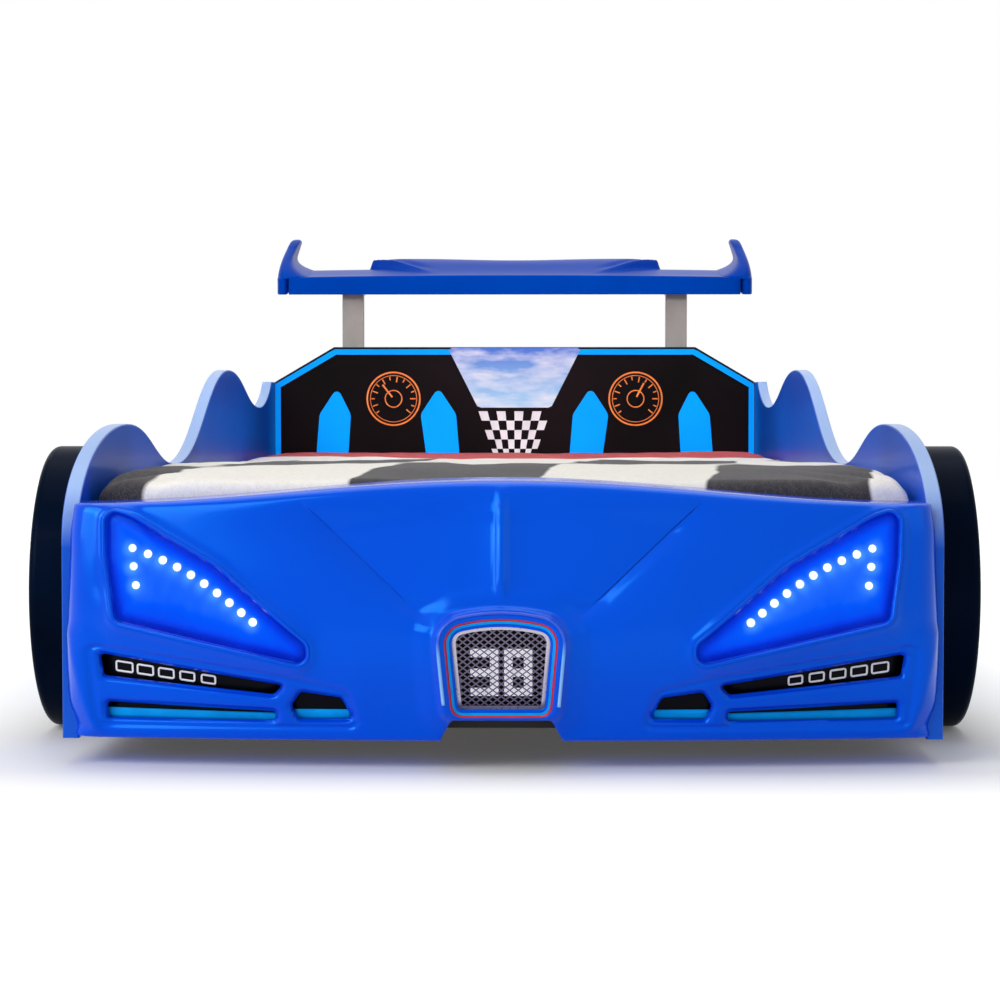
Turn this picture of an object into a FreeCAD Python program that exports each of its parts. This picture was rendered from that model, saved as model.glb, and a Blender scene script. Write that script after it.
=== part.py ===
import FreeCAD, Part
import math
import os
import re

from FreeCAD import Placement, Rotation, Vector

# A child's bed in the shape of a racing car: painted boards, slats, a vacuum-formed plastic front with
# lit lamps, four decorative wheels, a wing on two posts, a mattress and a bedspread.
#
# Frame: millimetres, +Z up, the front of the car looks along -Y and +X is on the right of someone who
# faces it. The origin is on the floor, in the middle of the bed's whole length and width.
# "front" is the Y of the side boards' front edge, from which lengths along the bed are counted.

SIZES = (
    # the boards
    ("inner_width", 920, "clear width between the side boards, for a mattress 900 wide"),
    ("board", 18, "thickness of every painted board"),
    ("bed_length", 2080, "side boards' front edge to the headboard's face"),
    ("ground_gap", 28, "floor to the underside of the boards"),
    ("nose_reach", 78, "how far the nose stands ahead of the side boards"),
    ("tail_reach", 180, "how far the wing reaches behind the headboard's face"),
    ("edge_round", 2, "rounding along the side boards' edges"),
    ("nose_start", 245, "height where the side board's front edge begins to curve back"),
    ("first_crest_at", 341, "first wave crest, from the front"),
    ("first_crest_top", 367, "height of the first crest"),
    ("first_dip_at", 760, "first dip, where a child climbs in"),
    ("first_dip_top", 309, "height of the first dip"),
    ("second_crest_at", 1367, "second wave crest"),
    ("second_crest_top", 447, "height of the second crest"),
    ("second_dip_at", 1820, "second dip"),
    ("second_dip_top", 386, "height of the second dip"),
    ("tail_top", 434, "height of the side board's level rear end"),
    ("tail_level", 56, "how far that level top reaches ahead of the headboard's face"),
    ("headboard_top", 501, "height of the headboard"),
    ("headboard_shoulder", 434, "height of the headboard at its sides"),
    ("headboard_flat", 692, "width of the headboard's level top edge"),
    ("footboard_at", 50, "front edge to the footboard's face"),
    # the base
    ("rail_wide", 30, "slat rail, across the bed"),
    ("rail_tall", 60, "slat rail and centre beam, height"),
    ("beam_wide", 40, "centre beam and its legs, across the bed"),
    ("leg_first_at", 500, "first leg of the beam"),
    ("leg_last_at", 1600, "last leg of the beam"),
    ("leg_count", 3, "legs under the beam"),
    ("slat_top", 160, "height of the slats' upper faces"),
    ("slat_thick", 15, "slat thickness"),
    ("slat_wide", 70, "slat width, along the bed"),
    ("slat_end_gap", 5, "slat end to side board"),
    ("slat_first_at", 100, "front edge of the first slat"),
    ("slat_last_at", 1980, "front edge of the last slat"),
    ("slat_count", 14, "number of slats"),
    ("tape_wide", 25, "width of the tape that links the slats"),
    ("tape_thick", 1.5, "thickness of that tape"),
    ("tape_out", 250, "tape to the middle of the bed"),
    ("glide_radius", 8.5, "foot of a glide"),
    ("glide_first_at", 560, "first glide under a side board"),
    ("glide_last_at", 2040, "last glide under a side board"),
    ("glide_count", 4, "glides under each side board"),
    # bedding
    ("mattress_wide", 900, "mattress width"),
    ("mattress_long", 2000, "mattress length"),
    ("mattress_gap", 6, "gap between the footboard and the mattress"),
    ("mattress_thick", 123, "mattress thickness"),
    ("mattress_round", 22, "rounding of the mattress's edges"),
    ("soft_gap", 0.3, "clearance of soft pieces to their neighbours"),
    ("cover_thick", 15, "bedspread over the rest of the mattress, thickness"),
    ("cover_swell", 17, "how much higher the bedspread lies near the front"),
    ("cover_swell_at", 330, "where it lies highest"),
    ("cover_swell_long", 260, "how far that swelling spreads"),
    ("cover_fall", 11, "how far its long edges fall below its middle"),
    ("cover_side_gap", 3, "bedspread to side board"),
    # the plastic front
    ("bumper_lap", 3.5, "how far each end of the front covers the side board's edge"),
    ("bumper_low", 30, "height of its lower edge"),
    ("bumper_wall", 3, "thickness of the formed plastic"),
    ("bumper_round", 24, "rounding of its two ends, seen from above"),
    ("deck_gap", 1, "hood deck to side board"),
    ("seat_gap", 0.3, "clearance between seated pieces"),
    ("hood_corner", 284, "height of the hood at its ends"),
    ("hood_centre", 310.5, "height of the hood in the middle"),
    ("roll_corner", 10, "height of the hood's rolled front edge at the ends"),
    ("roll_centre", 22, "height of the hood's rolled front edge in the middle"),
    ("foot_corner", 12, "reach of the lower edge at the ends"),
    ("foot_centre", 45, "reach of the lower edge in the middle"),
    ("nose_corner", 22, "reach at nose height at the ends"),
    ("nose_high", 150, "height of the nose"),
    ("brow_corner", 14, "reach under the rolled edge at the ends"),
    ("brow_centre", 50, "reach under the rolled edge in the middle"),
    ("arch_wide", 132, "cut-out under the grille, width"),
    ("arch_high", 55, "cut-out under the grille, height above the floor"),
    ("panel_recess", 3, "depth of the hood's V-shaped middle panel"),
    ("tray_wall", 2.5, "wall of the trays behind the openings"),
    ("tray_lap", 4, "how far a tray reaches past its opening"),
    ("tray_gap", 0.1, "clearance between a tray's rim and the formed plastic"),
    ("pane_lap", 1.2, "how far a pane or frame reaches past its opening"),
    ("lamp_deep", 22, "depth of the lamp housing's floor"),
    ("lens_thick", 2.5, "lamp lens thickness"),
    ("led_count", 10, "lamps in the long row"),
    ("led_radius", 3.2, "radius of one lamp"),
    ("led_tall", 4, "how far a lamp stands off its strip"),
    ("strip_wide", 10, "width of the strip that carries the lamps"),
    ("vent_deep", 16, "depth of the vent tray's floor"),
    ("stripe_thick", 2, "thickness of the blue stripe in a vent"),
    ("grille_deep", 15, "depth of the grille tray's floor"),
    ("frame_wide", 4, "visible width of the grille frame"),
    ("mesh_wire", 1.5, "wire of the grille mesh"),
    ("mesh_pitch", 9, "mesh opening, across"),
    ("mesh_rise", 7, "mesh opening, upwards"),
    ("digit_tall", 52, "height of the number"),
    ("digit_wide", 30, "width of one digit"),
    ("digit_stroke", 9, "stroke of a digit"),
    ("digit_gap", 6, "gap between the digits"),
    ("digit_thick", 1.2, "thickness of the number plate"),
    ("number_at", 106, "height of the number's middle"),
    # wheels
    ("wheel_radius", 170, "tyre radius"),
    ("wheel_wide", 72, "tyre, from the side board's face outwards"),
    ("wheel_front_at", 340, "front wheel's middle"),
    ("wheel_rear_at", 1705, "rear wheel's middle"),
    ("tyre_wall", 4, "thickness of the formed tyre"),
    ("tyre_shoulder", 9, "rounding of the tyre's outer shoulder"),
    ("tyre_bead", 118, "inner radius of the tyre's side"),
    ("rim_ring", 20, "width of the rim's outer ring"),
    ("rim_face", 64, "rim's outer face, from the side board"),
    ("rim_back", 3, "thickness of the rim's back plate"),
    ("spoke_count", 5, "spokes"),
    ("spoke_wide", 26, "spoke width"),
    ("spoke_deep", 24, "spoke depth"),
    ("hub_radius", 28, "rim's hub"),
    ("cap_radius", 24, "hub cap"),
    # wing
    ("wing_span", 861, "wing between its fins"),
    ("wing_chord", 200, "wing, front to back"),
    ("wing_low", 600.5, "underside of the wing's front edge"),
    ("wing_face", 31.5, "height of the wing's front face"),
    ("wing_pad", 5.5, "rise from there to the pad that sits on the posts"),
    ("wing_tip", 655, "height of the wing's rear edge"),
    ("wing_tip_thick", 12, "thickness of the rear edge"),
    ("wing_crown", 677, "height of the raised middle's rear edge"),
    ("wing_crown_wide", 574, "width of the raised middle"),
    ("fin_thick", 22, "end fin thickness"),
    ("fin_top", 717, "height of the end fins"),
    ("fin_round", 8, "rounding along a fin's upper edge"),
    ("post_wide", 40, "post across the bed"),
    ("post_deep", 30, "post along the bed"),
    ("post_wall", 2, "wall of the post's tube"),
    ("post_out", 311, "post's middle to the middle of the bed"),
    ("post_low", 220, "height of the post's lower end"),
    ("plate_thick", 4, "plate on top of a post"),
    ("plate_long", 60, "plate along the bed"),
    # fasteners
    ("bolt_radius", 3, "board bolts"),
    ("bolt_long", 45, "board bolts, under the head"),
    ("bolt_head", 7, "cap of a board bolt, radius"),
    ("bolt_cap", 2.5, "cap of a board bolt, thickness"),
    ("screw_radius", 2.5, "wood screws"),
    ("screw_head", 5, "wood screw head, radius"),
    ("screw_cap", 3, "wood screw head, thickness"),
    ("bore_gap", 0.2, "clearance round a bolt or screw"),
    ("wheel_screw_out", 60, "wheel screws, from the wheel's middle each way"),
    # electrics
    ("works_high", 70, "height of the switch and the inlet"),
    ("inlet_at", 105, "power inlet, from the front edge"),
    ("inlet_radius", 5.7, "inlet body"),
    ("inlet_flange", 8, "inlet flange, radius"),
    ("inlet_bore", 2.75, "inlet socket, radius"),
    ("inlet_pin", 1, "inlet centre pin, radius"),
    ("switch_at", 150, "rocker switch, from the front edge"),
    ("switch_wide", 14, "switch body along the bed"),
    ("switch_tall", 20, "switch body, height"),
    ("switch_rim", 3, "switch flange past its body"),
    ("flange_thick", 2, "flange of the switch and the inlet"),
    ("rocker_wide", 10.6, "rocker along the bed"),
    ("rocker_half", 7.6, "rocker's middle to its tip"),
    ("rocker_tilt", 9, "rocker's tilt to each side, degrees"),
    ("rocker_pin", 1, "rocker pin, radius"),
    ("pin_gap", 0.05, "rocker pin clearance"),
    ("box_wide", 80, "control box across the bed"),
    ("box_deep", 28, "control box along the bed"),
    ("box_tall", 50, "control box, height"),
    ("box_wall", 2, "control box wall"),
    ("box_out", 150, "control box's middle, left of the bed's middle"),
    ("box_low", 180, "control box's underside"),
    ("lead_radius", 2, "leads between the electric pieces"),
    ("lead_back", 14, "lead's middle to the footboard's face"),
    ("lead_bend", 13, "largest bend radius of a lead at a square corner"),
    ("clip_long", 8, "lead clip along the lead"),
    ("clip_wide", 11, "lead clip across the lead"),
    ("clip_gap", 0.1, "lead clip bore clearance"),
)

# Values worked out from the sizes, written as the sheet writes them.
PLACES = (
    ("front", "(nose_reach - bed_length - tail_reach) / 2"),
    ("half", "inner_width / 2"),
    ("outer", "inner_width / 2 + board"),
    ("board_long", "bed_length + board"),
    ("foot_back", "footboard_at + board"),
    ("rail_top", "slat_top - slat_thick"),
    ("rail_low", "slat_top - slat_thick - rail_tall"),
    ("mattress_low", "slat_top + tape_thick + soft_gap"),
    ("mattress_top", "slat_top + tape_thick + soft_gap + mattress_thick"),
    ("bumper_half", "inner_width / 2 + bumper_lap"),
    ("disc_radius", "wheel_radius - tyre_wall - seat_gap"),
    ("rim_radius", "tyre_bead - seat_gap"),
    ("wing_front", "bed_length + tail_reach - wing_chord"),
    ("post_top", "wing_low + wing_pad - plate_thick"),
    ("pivot_out", "inner_width / 2 + board + flange_thick - 0.5"),
)

doc = FreeCAD.newDocument("CarBed")
sizes = doc.addObject("Spreadsheet::Sheet", "Sizes")
places = doc.addObject("Spreadsheet::Sheet", "Places")
SHEET_OF = {}
NODES = []


def fill_sheets():
    """Write every size, its alias and its meaning, then the values worked out from them."""
    for row, (alias, value, meaning) in enumerate(SIZES, start=1):
        sizes.set(f"A{row}", alias)
        sizes.set(f"B{row}", str(value))
        sizes.set(f"C{row}", meaning)
        sizes.setAlias(f"B{row}", alias)
        SHEET_OF[alias] = "Sizes."
    for row, (alias, formula) in enumerate(PLACES, start=1):
        places.set(f"A{row}", alias)
        places.set(f"B{row}", "=" + bound(formula))
        places.setAlias(f"B{row}", alias)
    for alias, formula in PLACES:
        SHEET_OF[alias] = "Places."
    doc.recompute()


def bound(text):
    """Lead each named value in an expression with the name of its sheet."""
    return re.sub(r"[a-z_]+", lambda word: SHEET_OF.get(word.group(), "") + word.group(), text)


class Values:
    """Named values as plain numbers: v.board reads the cell called board."""

    def __getattr__(self, alias):
        sheet = sizes if SHEET_OF[alias] == "Sizes." else places
        return float(sheet.get(alias))


v = Values()
fill_sheets()

LEFT, RIGHT = -1, 1
SIDES = (("left", LEFT), ("right", RIGHT))
OUT = {"x": Vector(1, 0, 0), "y": Vector(0, 1, 0), "z": Vector(0, 0, 1)}


# ---------------------------------------------------------------- ways to make a piece

def bind(piece, prop, text):
    piece.setExpression(prop, bound(text))


def keep(piece, label=None):
    """Count a piece as a part of the bed, with its label as its name."""
    if label:
        piece.Label = label
    NODES.append(piece)
    return piece


def block(name, size, corner):
    """A rectangular piece: its size and its lowest corner are expressions."""
    piece = doc.addObject("Part::Box", name)
    for prop, text in zip(("Length", "Width", "Height"), size):
        bind(piece, prop, text)
    for axis, text in zip("xyz", corner):
        bind(piece, f"Placement.Base.{axis}", text)
    return piece


def rod(name, radius, length, start, axis):
    """A round bar from start along an axis; every size is an expression."""
    piece = doc.addObject("Part::Cylinder", name)
    bind(piece, "Radius", radius)
    bind(piece, "Height", length)
    piece.Placement = Placement(Vector(), Rotation(OUT["z"], OUT[axis]))
    for name_of_axis, text in zip("xyz", start):
        bind(piece, f"Placement.Base.{name_of_axis}", text)
    return piece


def cut(name, base, tool):
    piece = doc.addObject("Part::Cut", name)
    piece.Base = base
    piece.Tool = tool
    return piece


def joined(name, pieces):
    piece = doc.addObject("Part::MultiFuse", name)
    piece.Shapes = pieces
    return piece


def group(name, pieces):
    """Separate solids that share one name."""
    piece = doc.addObject("Part::Compound", name)
    piece.Links = pieces
    return piece


def feature(name, shape):
    """A piece whose shape is worked out here. Its Y counts from the boards' front edge."""
    piece = doc.addObject("Part::Feature", name)
    piece.Shape = shape if shape.Placement.isIdentity() else Part.makeCompound([shape])
    piece.Placement = Placement(Vector(0, v.front, 0), Rotation())
    bind(piece, "Placement.Base.y", "front")
    return piece


def mirrored(name, source):
    """The same piece on the other side of the bed."""
    piece = doc.addObject("Part::Mirroring", name)
    piece.Source = source
    piece.Normal = OUT["x"]
    return piece


def plane_of(body, role):
    return next(item for item in body.Origin.OriginFeatures if item.Role == role)


def sketched(body, name, role, corners):
    """A closed outline of straight edges; each corner is a pair of expressions."""
    sketch = body.newObject("Sketcher::SketchObject", name)
    sketch.AttachmentSupport = [(plane_of(body, role), "")]
    sketch.MapMode = "FlatFace"
    spots = [Vector(*(worth(text) for text in corner), 0) for corner in corners]
    count = len(spots)
    for index, spot in enumerate(spots):
        sketch.addGeometry(Part.LineSegment(spot, spots[(index + 1) % count]), False)
    for index in range(count):
        sketch.addConstraint(sketch_constraint("Coincident", index, 2, (index + 1) % count, 1))
    for index, (across, up) in enumerate(corners):
        for kind, text in (("DistanceX", across), ("DistanceY", up)):
            row = sketch.addConstraint(sketch_constraint(kind, -1, 1, index, 1, worth(text)))
            sketch.setExpression(f"Constraints[{row}]", bound(text))
    return sketch


def sketch_constraint(*words):
    import Sketcher
    return Sketcher.Constraint(*words)


def worth(text):
    """The number that an expression gives now."""
    return float(sizes.evalExpression(bound(text)))


def padded(body, sketch, length, name, back=False):
    pad = body.newObject("PartDesign::Pad", name)
    pad.Profile = sketch
    pad.Reversed = back
    bind(pad, "Length", length)
    return pad


def spun(body, sketch, name):
    """Turn a sketched section once round the sketch's own horizontal axis."""
    ring = body.newObject("PartDesign::Revolution", name)
    ring.Profile = sketch
    ring.ReferenceAxis = (sketch, ["H_Axis"])
    ring.Angle = 360
    return ring


def turned(section, along, at):
    """Spin a section of (radius, height) pairs about an axis through a point."""
    wire = Part.makePolygon([Vector(r, 0, z) for r, z in section + section[:1]])
    solid = Part.Face(wire).revolve(Vector(), OUT["z"], 360)
    solid.Placement = Placement(at, Rotation(OUT["z"], along))
    return solid


def fastener(at, out, shank, length, head, cap):
    """A screw or bolt whose head's underside is at a point and whose head looks along out."""
    section = [(0, cap), (head, cap), (head, 0), (shank, 0), (shank, -length), (0, -length)]
    return turned(section, out, at)


def drilling(at, out, radius, length):
    """The hole such a fastener needs, from a little above its head's underside inwards."""
    return turned([(0, 1), (radius, 1), (radius, -length), (0, -length)], out, at)


def evenly(first, last, count):
    """Places from first to last in equal steps."""
    steps = max(int(count) - 1, 1)
    return [first + (last - first) * index / steps for index in range(steps + 1)]


# ---------------------------------------------------------------- boards

def rounded_outline(corners):
    """A closed outline in the XZ plane: corners are (x, z, radius), the rounds are tangent arcs."""
    count = len(corners)
    starts, ends, mids = [], [], []
    for index, (x, z, radius) in enumerate(corners):
        here = Vector(x, 0, z)
        before = Vector(corners[index - 1][0], 0, corners[index - 1][1]) - here
        after = Vector(corners[(index + 1) % count][0], 0, corners[(index + 1) % count][1]) - here
        before.normalize()
        after.normalize()
        half_turn = before.getAngle(after) / 2
        inset = radius / math.tan(half_turn)
        middle = before + after
        middle.normalize()
        starts.append(here + before * inset)
        ends.append(here + after * inset)
        mids.append(here + middle * (radius / math.sin(half_turn) - radius))
    edges = []
    for index in range(count):
        if corners[index][2] > 0:
            edges.append(Part.Arc(starts[index], mids[index], ends[index]).toShape())
        edges.append(Part.makeLine(ends[index], starts[(index + 1) % count]))
    return Part.Wire(edges)


def swell(start, end, start_pull, end_pull):
    """One stretch of the wave in the YZ plane; the pulls are its two handles."""
    curve = Part.BezierCurve()
    curve.setPoles([start, start + start_pull, end - end_pull, end])
    return curve.toShape()


def side_board_shape():
    """The left side board: crest, dip, crest, dip, then a rise to a short level top by the headboard."""
    x = -v.outer
    low_front = Vector(x, 0, v.ground_gap)
    nose = Vector(x, 0, v.nose_start)
    crest_1 = Vector(x, v.first_crest_at, v.first_crest_top)
    dip_1 = Vector(x, v.first_dip_at, v.first_dip_top)
    crest_2 = Vector(x, v.second_crest_at, v.second_crest_top)
    dip_2 = Vector(x, v.second_dip_at, v.second_dip_top)
    tail = Vector(x, v.bed_length - v.tail_level, v.tail_top)
    high_rear = Vector(x, v.board_long, v.tail_top)
    low_rear = Vector(x, v.board_long, v.ground_gap)
    level = Vector(0, 1, 0)
    rise = Vector(0, 0, crest_1.z - nose.z)
    edges = [Part.makeLine(low_front, nose),
             swell(nose, crest_1, rise * 0.5, level * (crest_1.y * 0.65))]
    for start, end in ((crest_1, dip_1), (dip_1, crest_2), (crest_2, dip_2)):
        pull = level * ((end.y - start.y) * 0.45)
        edges.append(swell(start, end, pull, pull))
    reach = tail.y - dip_2.y
    lift = Vector(0, reach * 0.22, (tail.z - dip_2.z) * 0.6)
    edges.append(swell(dip_2, tail, level * (reach * 0.4), lift))
    edges.append(Part.makeLine(tail, high_rear))
    edges.append(Part.makeLine(high_rear, low_rear))
    edges.append(Part.makeLine(low_rear, low_front))
    board = Part.Face(Part.Wire(edges)).extrude(Vector(v.board, 0, 0))
    return eased(board)


def eased(board):
    """Round a side board's front and wavy top, along both its faces."""
    low, back = v.ground_gap, v.board_long
    bounds = [(edge, edge.BoundBox) for edge in board.Edges]
    wave = [edge for edge, box in bounds
            if box.XLength < 0.01 and box.ZMax > low + 1 and box.YMin < back - 1]
    return board.makeFillet(v.edge_round, wave)


def board_bolt_spots():
    """Where bolts pass through a side board: (y, z) pairs."""
    foot = v.footboard_at + v.board / 2
    head = v.bed_length + v.board / 2
    low = v.ground_gap + 82
    return ((foot, low), (foot, low + 130), (head, low), (head, v.headboard_shoulder - 80))


def rail_screw_spots():
    """Where screws pass through a slat rail into the side board: (y, z) pairs."""
    height = (v.rail_low + v.rail_top) / 2
    return [(y, height) for y in evenly(v.slat_first_at + 100, v.slat_last_at - 140, 5)]


def wheel_middles():
    return (("front", v.wheel_front_at), ("rear", v.wheel_rear_at))


def wheel_screw_spots():
    """Where screws hold a wheel's disc to the side board: (y, z) pairs."""
    out = v.wheel_screw_out
    return [(middle + dy, v.wheel_radius + dz) for place, middle in wheel_middles()
            for dy in (-out, out) for dz in (-out, out)]


def side_drillings(side):
    """Every hole that a side board has for bolts, screws and the rim bolts."""
    out = Vector(side, 0, 0)
    face = side * v.outer
    bolt = v.bolt_radius + v.bore_gap
    screw = v.screw_radius + v.bore_gap
    holes = [drilling(Vector(face, y, z), out, bolt, v.bolt_long + 1) for y, z in board_bolt_spots()]
    for y, z in rail_screw_spots():
        inside = Vector(side * (v.half - v.rail_wide), y, z)
        holes.append(drilling(inside, out * -1, screw, v.rail_wide + 13))
    for y, z in wheel_screw_spots():
        holes.append(drilling(Vector(face, y, z), out, screw, 13))
    for place, middle in wheel_middles():
        holes.append(drilling(Vector(face, middle, v.wheel_radius), out, 4 + v.bore_gap, 11))
    return Part.makeCompound(holes)


def switch_cutouts():
    """The openings in the left side board for the switch body and the inlet body."""
    switch = Part.makeBox(v.board + 2, v.switch_wide + 1, v.switch_tall + 1)
    switch.translate(Vector(-v.outer - 1, v.switch_at - v.switch_wide / 2 - 0.5,
                            v.works_high - v.switch_tall / 2 - 0.5))
    spot = Vector(-v.outer, v.inlet_at, v.works_high)
    inlet = drilling(spot, Vector(-1, 0, 0), v.inlet_radius + v.bore_gap, v.board + 1)
    return Part.makeCompound([switch, inlet])


def make_side_boards():
    left = feature("left_board", side_board_shape())
    right = mirrored("right_board", left)
    left_holes = feature("left_holes", Part.makeCompound([side_drillings(LEFT), switch_cutouts()]))
    right_holes = feature("right_holes", side_drillings(RIGHT))
    keep(cut("side_panel_left", left, left_holes))
    keep(cut("side_panel_right", right, right_holes))


def make_headboard():
    """The headboard: a pad with two cut shoulders, bolted between the side boards."""
    body = doc.addObject("PartDesign::Body", "headboard_body")
    corners = [("-half", "ground_gap"), ("half", "ground_gap"), ("half", "headboard_shoulder"),
               ("headboard_flat / 2", "headboard_top"), ("-headboard_flat / 2", "headboard_top"),
               ("-half", "headboard_shoulder")]
    sketch = sketched(body, "headboard_outline", "XZ_Plane", corners)
    padded(body, sketch, "board", "headboard_pad")
    bind(body, "Placement.Base.y", "front + board_long")
    holes = board_bolt_holes(lambda y: y > v.bed_length) + post_screw_holes()
    keep(cut("headboard_panel", body, feature("headboard_holes", Part.makeCompound(holes))))


def board_bolt_holes(wanted):
    """The bolt holes in the ends of a cross board, at the spots whose y is wanted."""
    holes = []
    for side in (LEFT, RIGHT):
        for y, z in board_bolt_spots():
            if wanted(y):
                at = Vector(side * v.outer, y, z)
                holes.append(drilling(at, Vector(side, 0, 0), v.bolt_radius + v.bore_gap, v.bolt_long + 1))
    return holes


def hood_height(x):
    """The hood's height across the bed: a raised cosine from its ends to its middle."""
    share = (1 + math.cos(math.pi * min(abs(x) / v.bumper_half, 1))) / 2
    return v.hood_corner + (v.hood_centre - v.hood_corner) * share


def make_footboard():
    """The footboard behind the plastic front: its top edge follows the hood, which it carries."""
    drop = v.bumper_wall + v.seat_gap
    low = v.bumper_low + v.bumper_wall + v.seat_gap
    y = v.footboard_at
    tops = [Vector(x, y, hood_height(x) - drop) for x in stations()]
    knots, mults = even_knots(len(tops))
    crest = Part.BSplineCurve()
    crest.buildFromPolesMultsKnots(tops, mults, knots, False, 3)
    corners = [tops[-1], Vector(v.bumper_half, y, low), Vector(-v.bumper_half, y, low), tops[0]]
    sides = [Part.makeLine(start, end) for start, end in zip(corners, corners[1:])]
    board = Part.Face(Part.Wire([crest.toShape()] + sides)).extrude(Vector(0, v.board, 0))
    clear = Part.makeBox(v.inner_width, v.board, v.headboard_top)
    clear.translate(Vector(-v.half, y, 0))
    board = board.common(clear)
    holes = board_bolt_holes(lambda y_of: y_of < v.bed_length) + lip_screw_holes()
    switch_lead = Vector(lead_hole_x(), v.foot_back, v.works_high + 4)
    holes.append(drilling(switch_lead, OUT["y"], v.lead_radius + 2, v.board + 1))
    blank = feature("footboard_blank", board)
    keep(cut("footboard_panel", blank, feature("footboard_holes", Part.makeCompound(holes))))


# ---------------------------------------------------------------- the base

def make_rails():
    for name, side in SIDES:
        corner_x = "-half" if side == LEFT else "half - rail_wide"
        rail = block(f"rail_blank_{name}", ("rail_wide", "bed_length - foot_back", "rail_tall"),
                     (corner_x, "front + foot_back", "rail_low"))
        out = Vector(-side, 0, 0)
        holes = []
        for y, z in rail_screw_spots():
            at = Vector(side * (v.half - v.rail_wide), y, z)
            holes.append(drilling(at, out, v.screw_radius + v.bore_gap, v.rail_wide + 13))
        keep(cut(f"slat_rail_{name}", rail, feature(f"rail_holes_{name}", Part.makeCompound(holes))))


def make_beam():
    keep(block("centre_beam", ("beam_wide", "bed_length - foot_back", "rail_tall"),
               ("-beam_wide / 2", "front + foot_back", "rail_low")))
    legs = []
    for index in range(int(v.leg_count)):
        step = f"leg_first_at + (leg_last_at - leg_first_at) * {index} / max(leg_count - 1; 1)"
        legs.append(block(f"leg_{index + 1}", ("beam_wide", "beam_wide", "rail_low"),
                          ("-beam_wide / 2", f"front + {step} - beam_wide / 2", "0")))
    keep(group("beam_legs", legs))


def make_slats():
    slats = []
    for index in range(int(v.slat_count)):
        step = f"slat_first_at + (slat_last_at - slat_first_at) * {index} / max(slat_count - 1; 1)"
        slats.append(block(f"slat_{index + 1}", ("inner_width - 2 * slat_end_gap", "slat_wide", "slat_thick"),
                           ("-half + slat_end_gap", f"front + {step}", "rail_top")))
    keep(group("slats", slats))
    tapes = []
    for name, place in (("left", "-tape_out"), ("right", "tape_out")):
        size = ("tape_wide", "slat_last_at - slat_first_at + slat_wide", "tape_thick")
        tapes.append(block(f"tape_{name}", size, (f"{place} - tape_wide / 2", "front + slat_first_at",
                                                  "slat_top")))
    keep(group("slat_tapes", tapes))


def make_glides():
    """Round plastic feet that lift the side boards off the floor."""
    gap = v.ground_gap
    section = [(0, 0), (v.glide_radius, 0), (v.glide_radius, gap * 0.3), (gap * 0.25, gap * 0.4),
               (gap * 0.25, gap), (0, gap)]
    glides = []
    for side in (LEFT, RIGHT):
        for y in evenly(v.glide_first_at, v.glide_last_at, v.glide_count):
            glides.append(turned(section, OUT["z"], Vector(side * (v.half + v.board / 2), y, 0)))
    keep(feature("panel_glides", Part.makeCompound(glides)))


# ---------------------------------------------------------------- bedding

def make_mattress():
    top_slab = Part.makeBox(v.mattress_wide, v.mattress_long, v.mattress_thick)
    top_slab.translate(Vector(-v.mattress_wide / 2, mattress_start(), v.mattress_low))
    keep(feature("mattress", top_slab.makeFillet(v.mattress_round, top_slab.Edges)))


def mattress_start():
    """The mattress lies close behind the footboard."""
    return v.foot_back + v.mattress_gap


def cover_height(y):
    """How high the bedspread's middle lies: a swelling near the front dies away to the head."""
    lift = math.exp(-((y - v.cover_swell_at) / v.cover_swell_long) ** 2)
    return v.mattress_top + v.cover_thick + v.cover_swell * lift


def cover_section(y):
    """One crosswise section of the bedspread: flat below, with round sides and a crowned top."""
    wide = v.half - v.cover_side_gap
    low = v.mattress_top + v.soft_gap
    high = cover_height(y)
    edge = max(high - v.cover_fall, low + 3)
    turn = (edge - low) / 2
    right = [Vector(wide - turn, y, low), Vector(wide, y, low + turn), Vector(wide - turn, y, edge)]
    left = [Vector(-spot.x, y, spot.z) for spot in reversed(right)]
    return Part.Wire([Part.makeLine(left[2], right[0]), Part.Arc(*right).toShape(),
                      Part.Arc(right[2], Vector(0, y, high), left[0]).toShape(),
                      Part.Arc(*left).toShape()])


def make_cover():
    """The bedspread over the mattress, with its main swelling near the front."""
    start = v.foot_back + v.soft_gap * 4
    end = v.bed_length - v.soft_gap * 4
    near_end = v.cover_swell_at + v.cover_swell_long * 2
    spots = evenly(start, near_end, 11) + evenly(near_end, end, 5)[1:]
    keep(feature("bed_cover", Part.makeLoft([cover_section(y) for y in spots], True, True)))


# ---------------------------------------------------------------- the plastic front

def end_share(x):
    """How much of its reach the front keeps near an end, where it rounds back in plan."""
    past = (abs(x) - (v.bumper_half - v.bumper_round)) / v.bumper_round
    return max(math.sqrt(max(1 - max(past, 0) ** 2, 0)), 0.15)


def stations():
    """The places across the bed where the front's guiding points lie, close together at its ends."""
    half, turn = v.bumper_half, v.bumper_round
    inner = evenly(0, half - turn * 2, 9)
    outward = inner + [half - turn * share for share in (1.4, 1, 0.66, 0.36, 0.14, 0)]
    return [-x for x in reversed(outward[1:])] + outward


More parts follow.
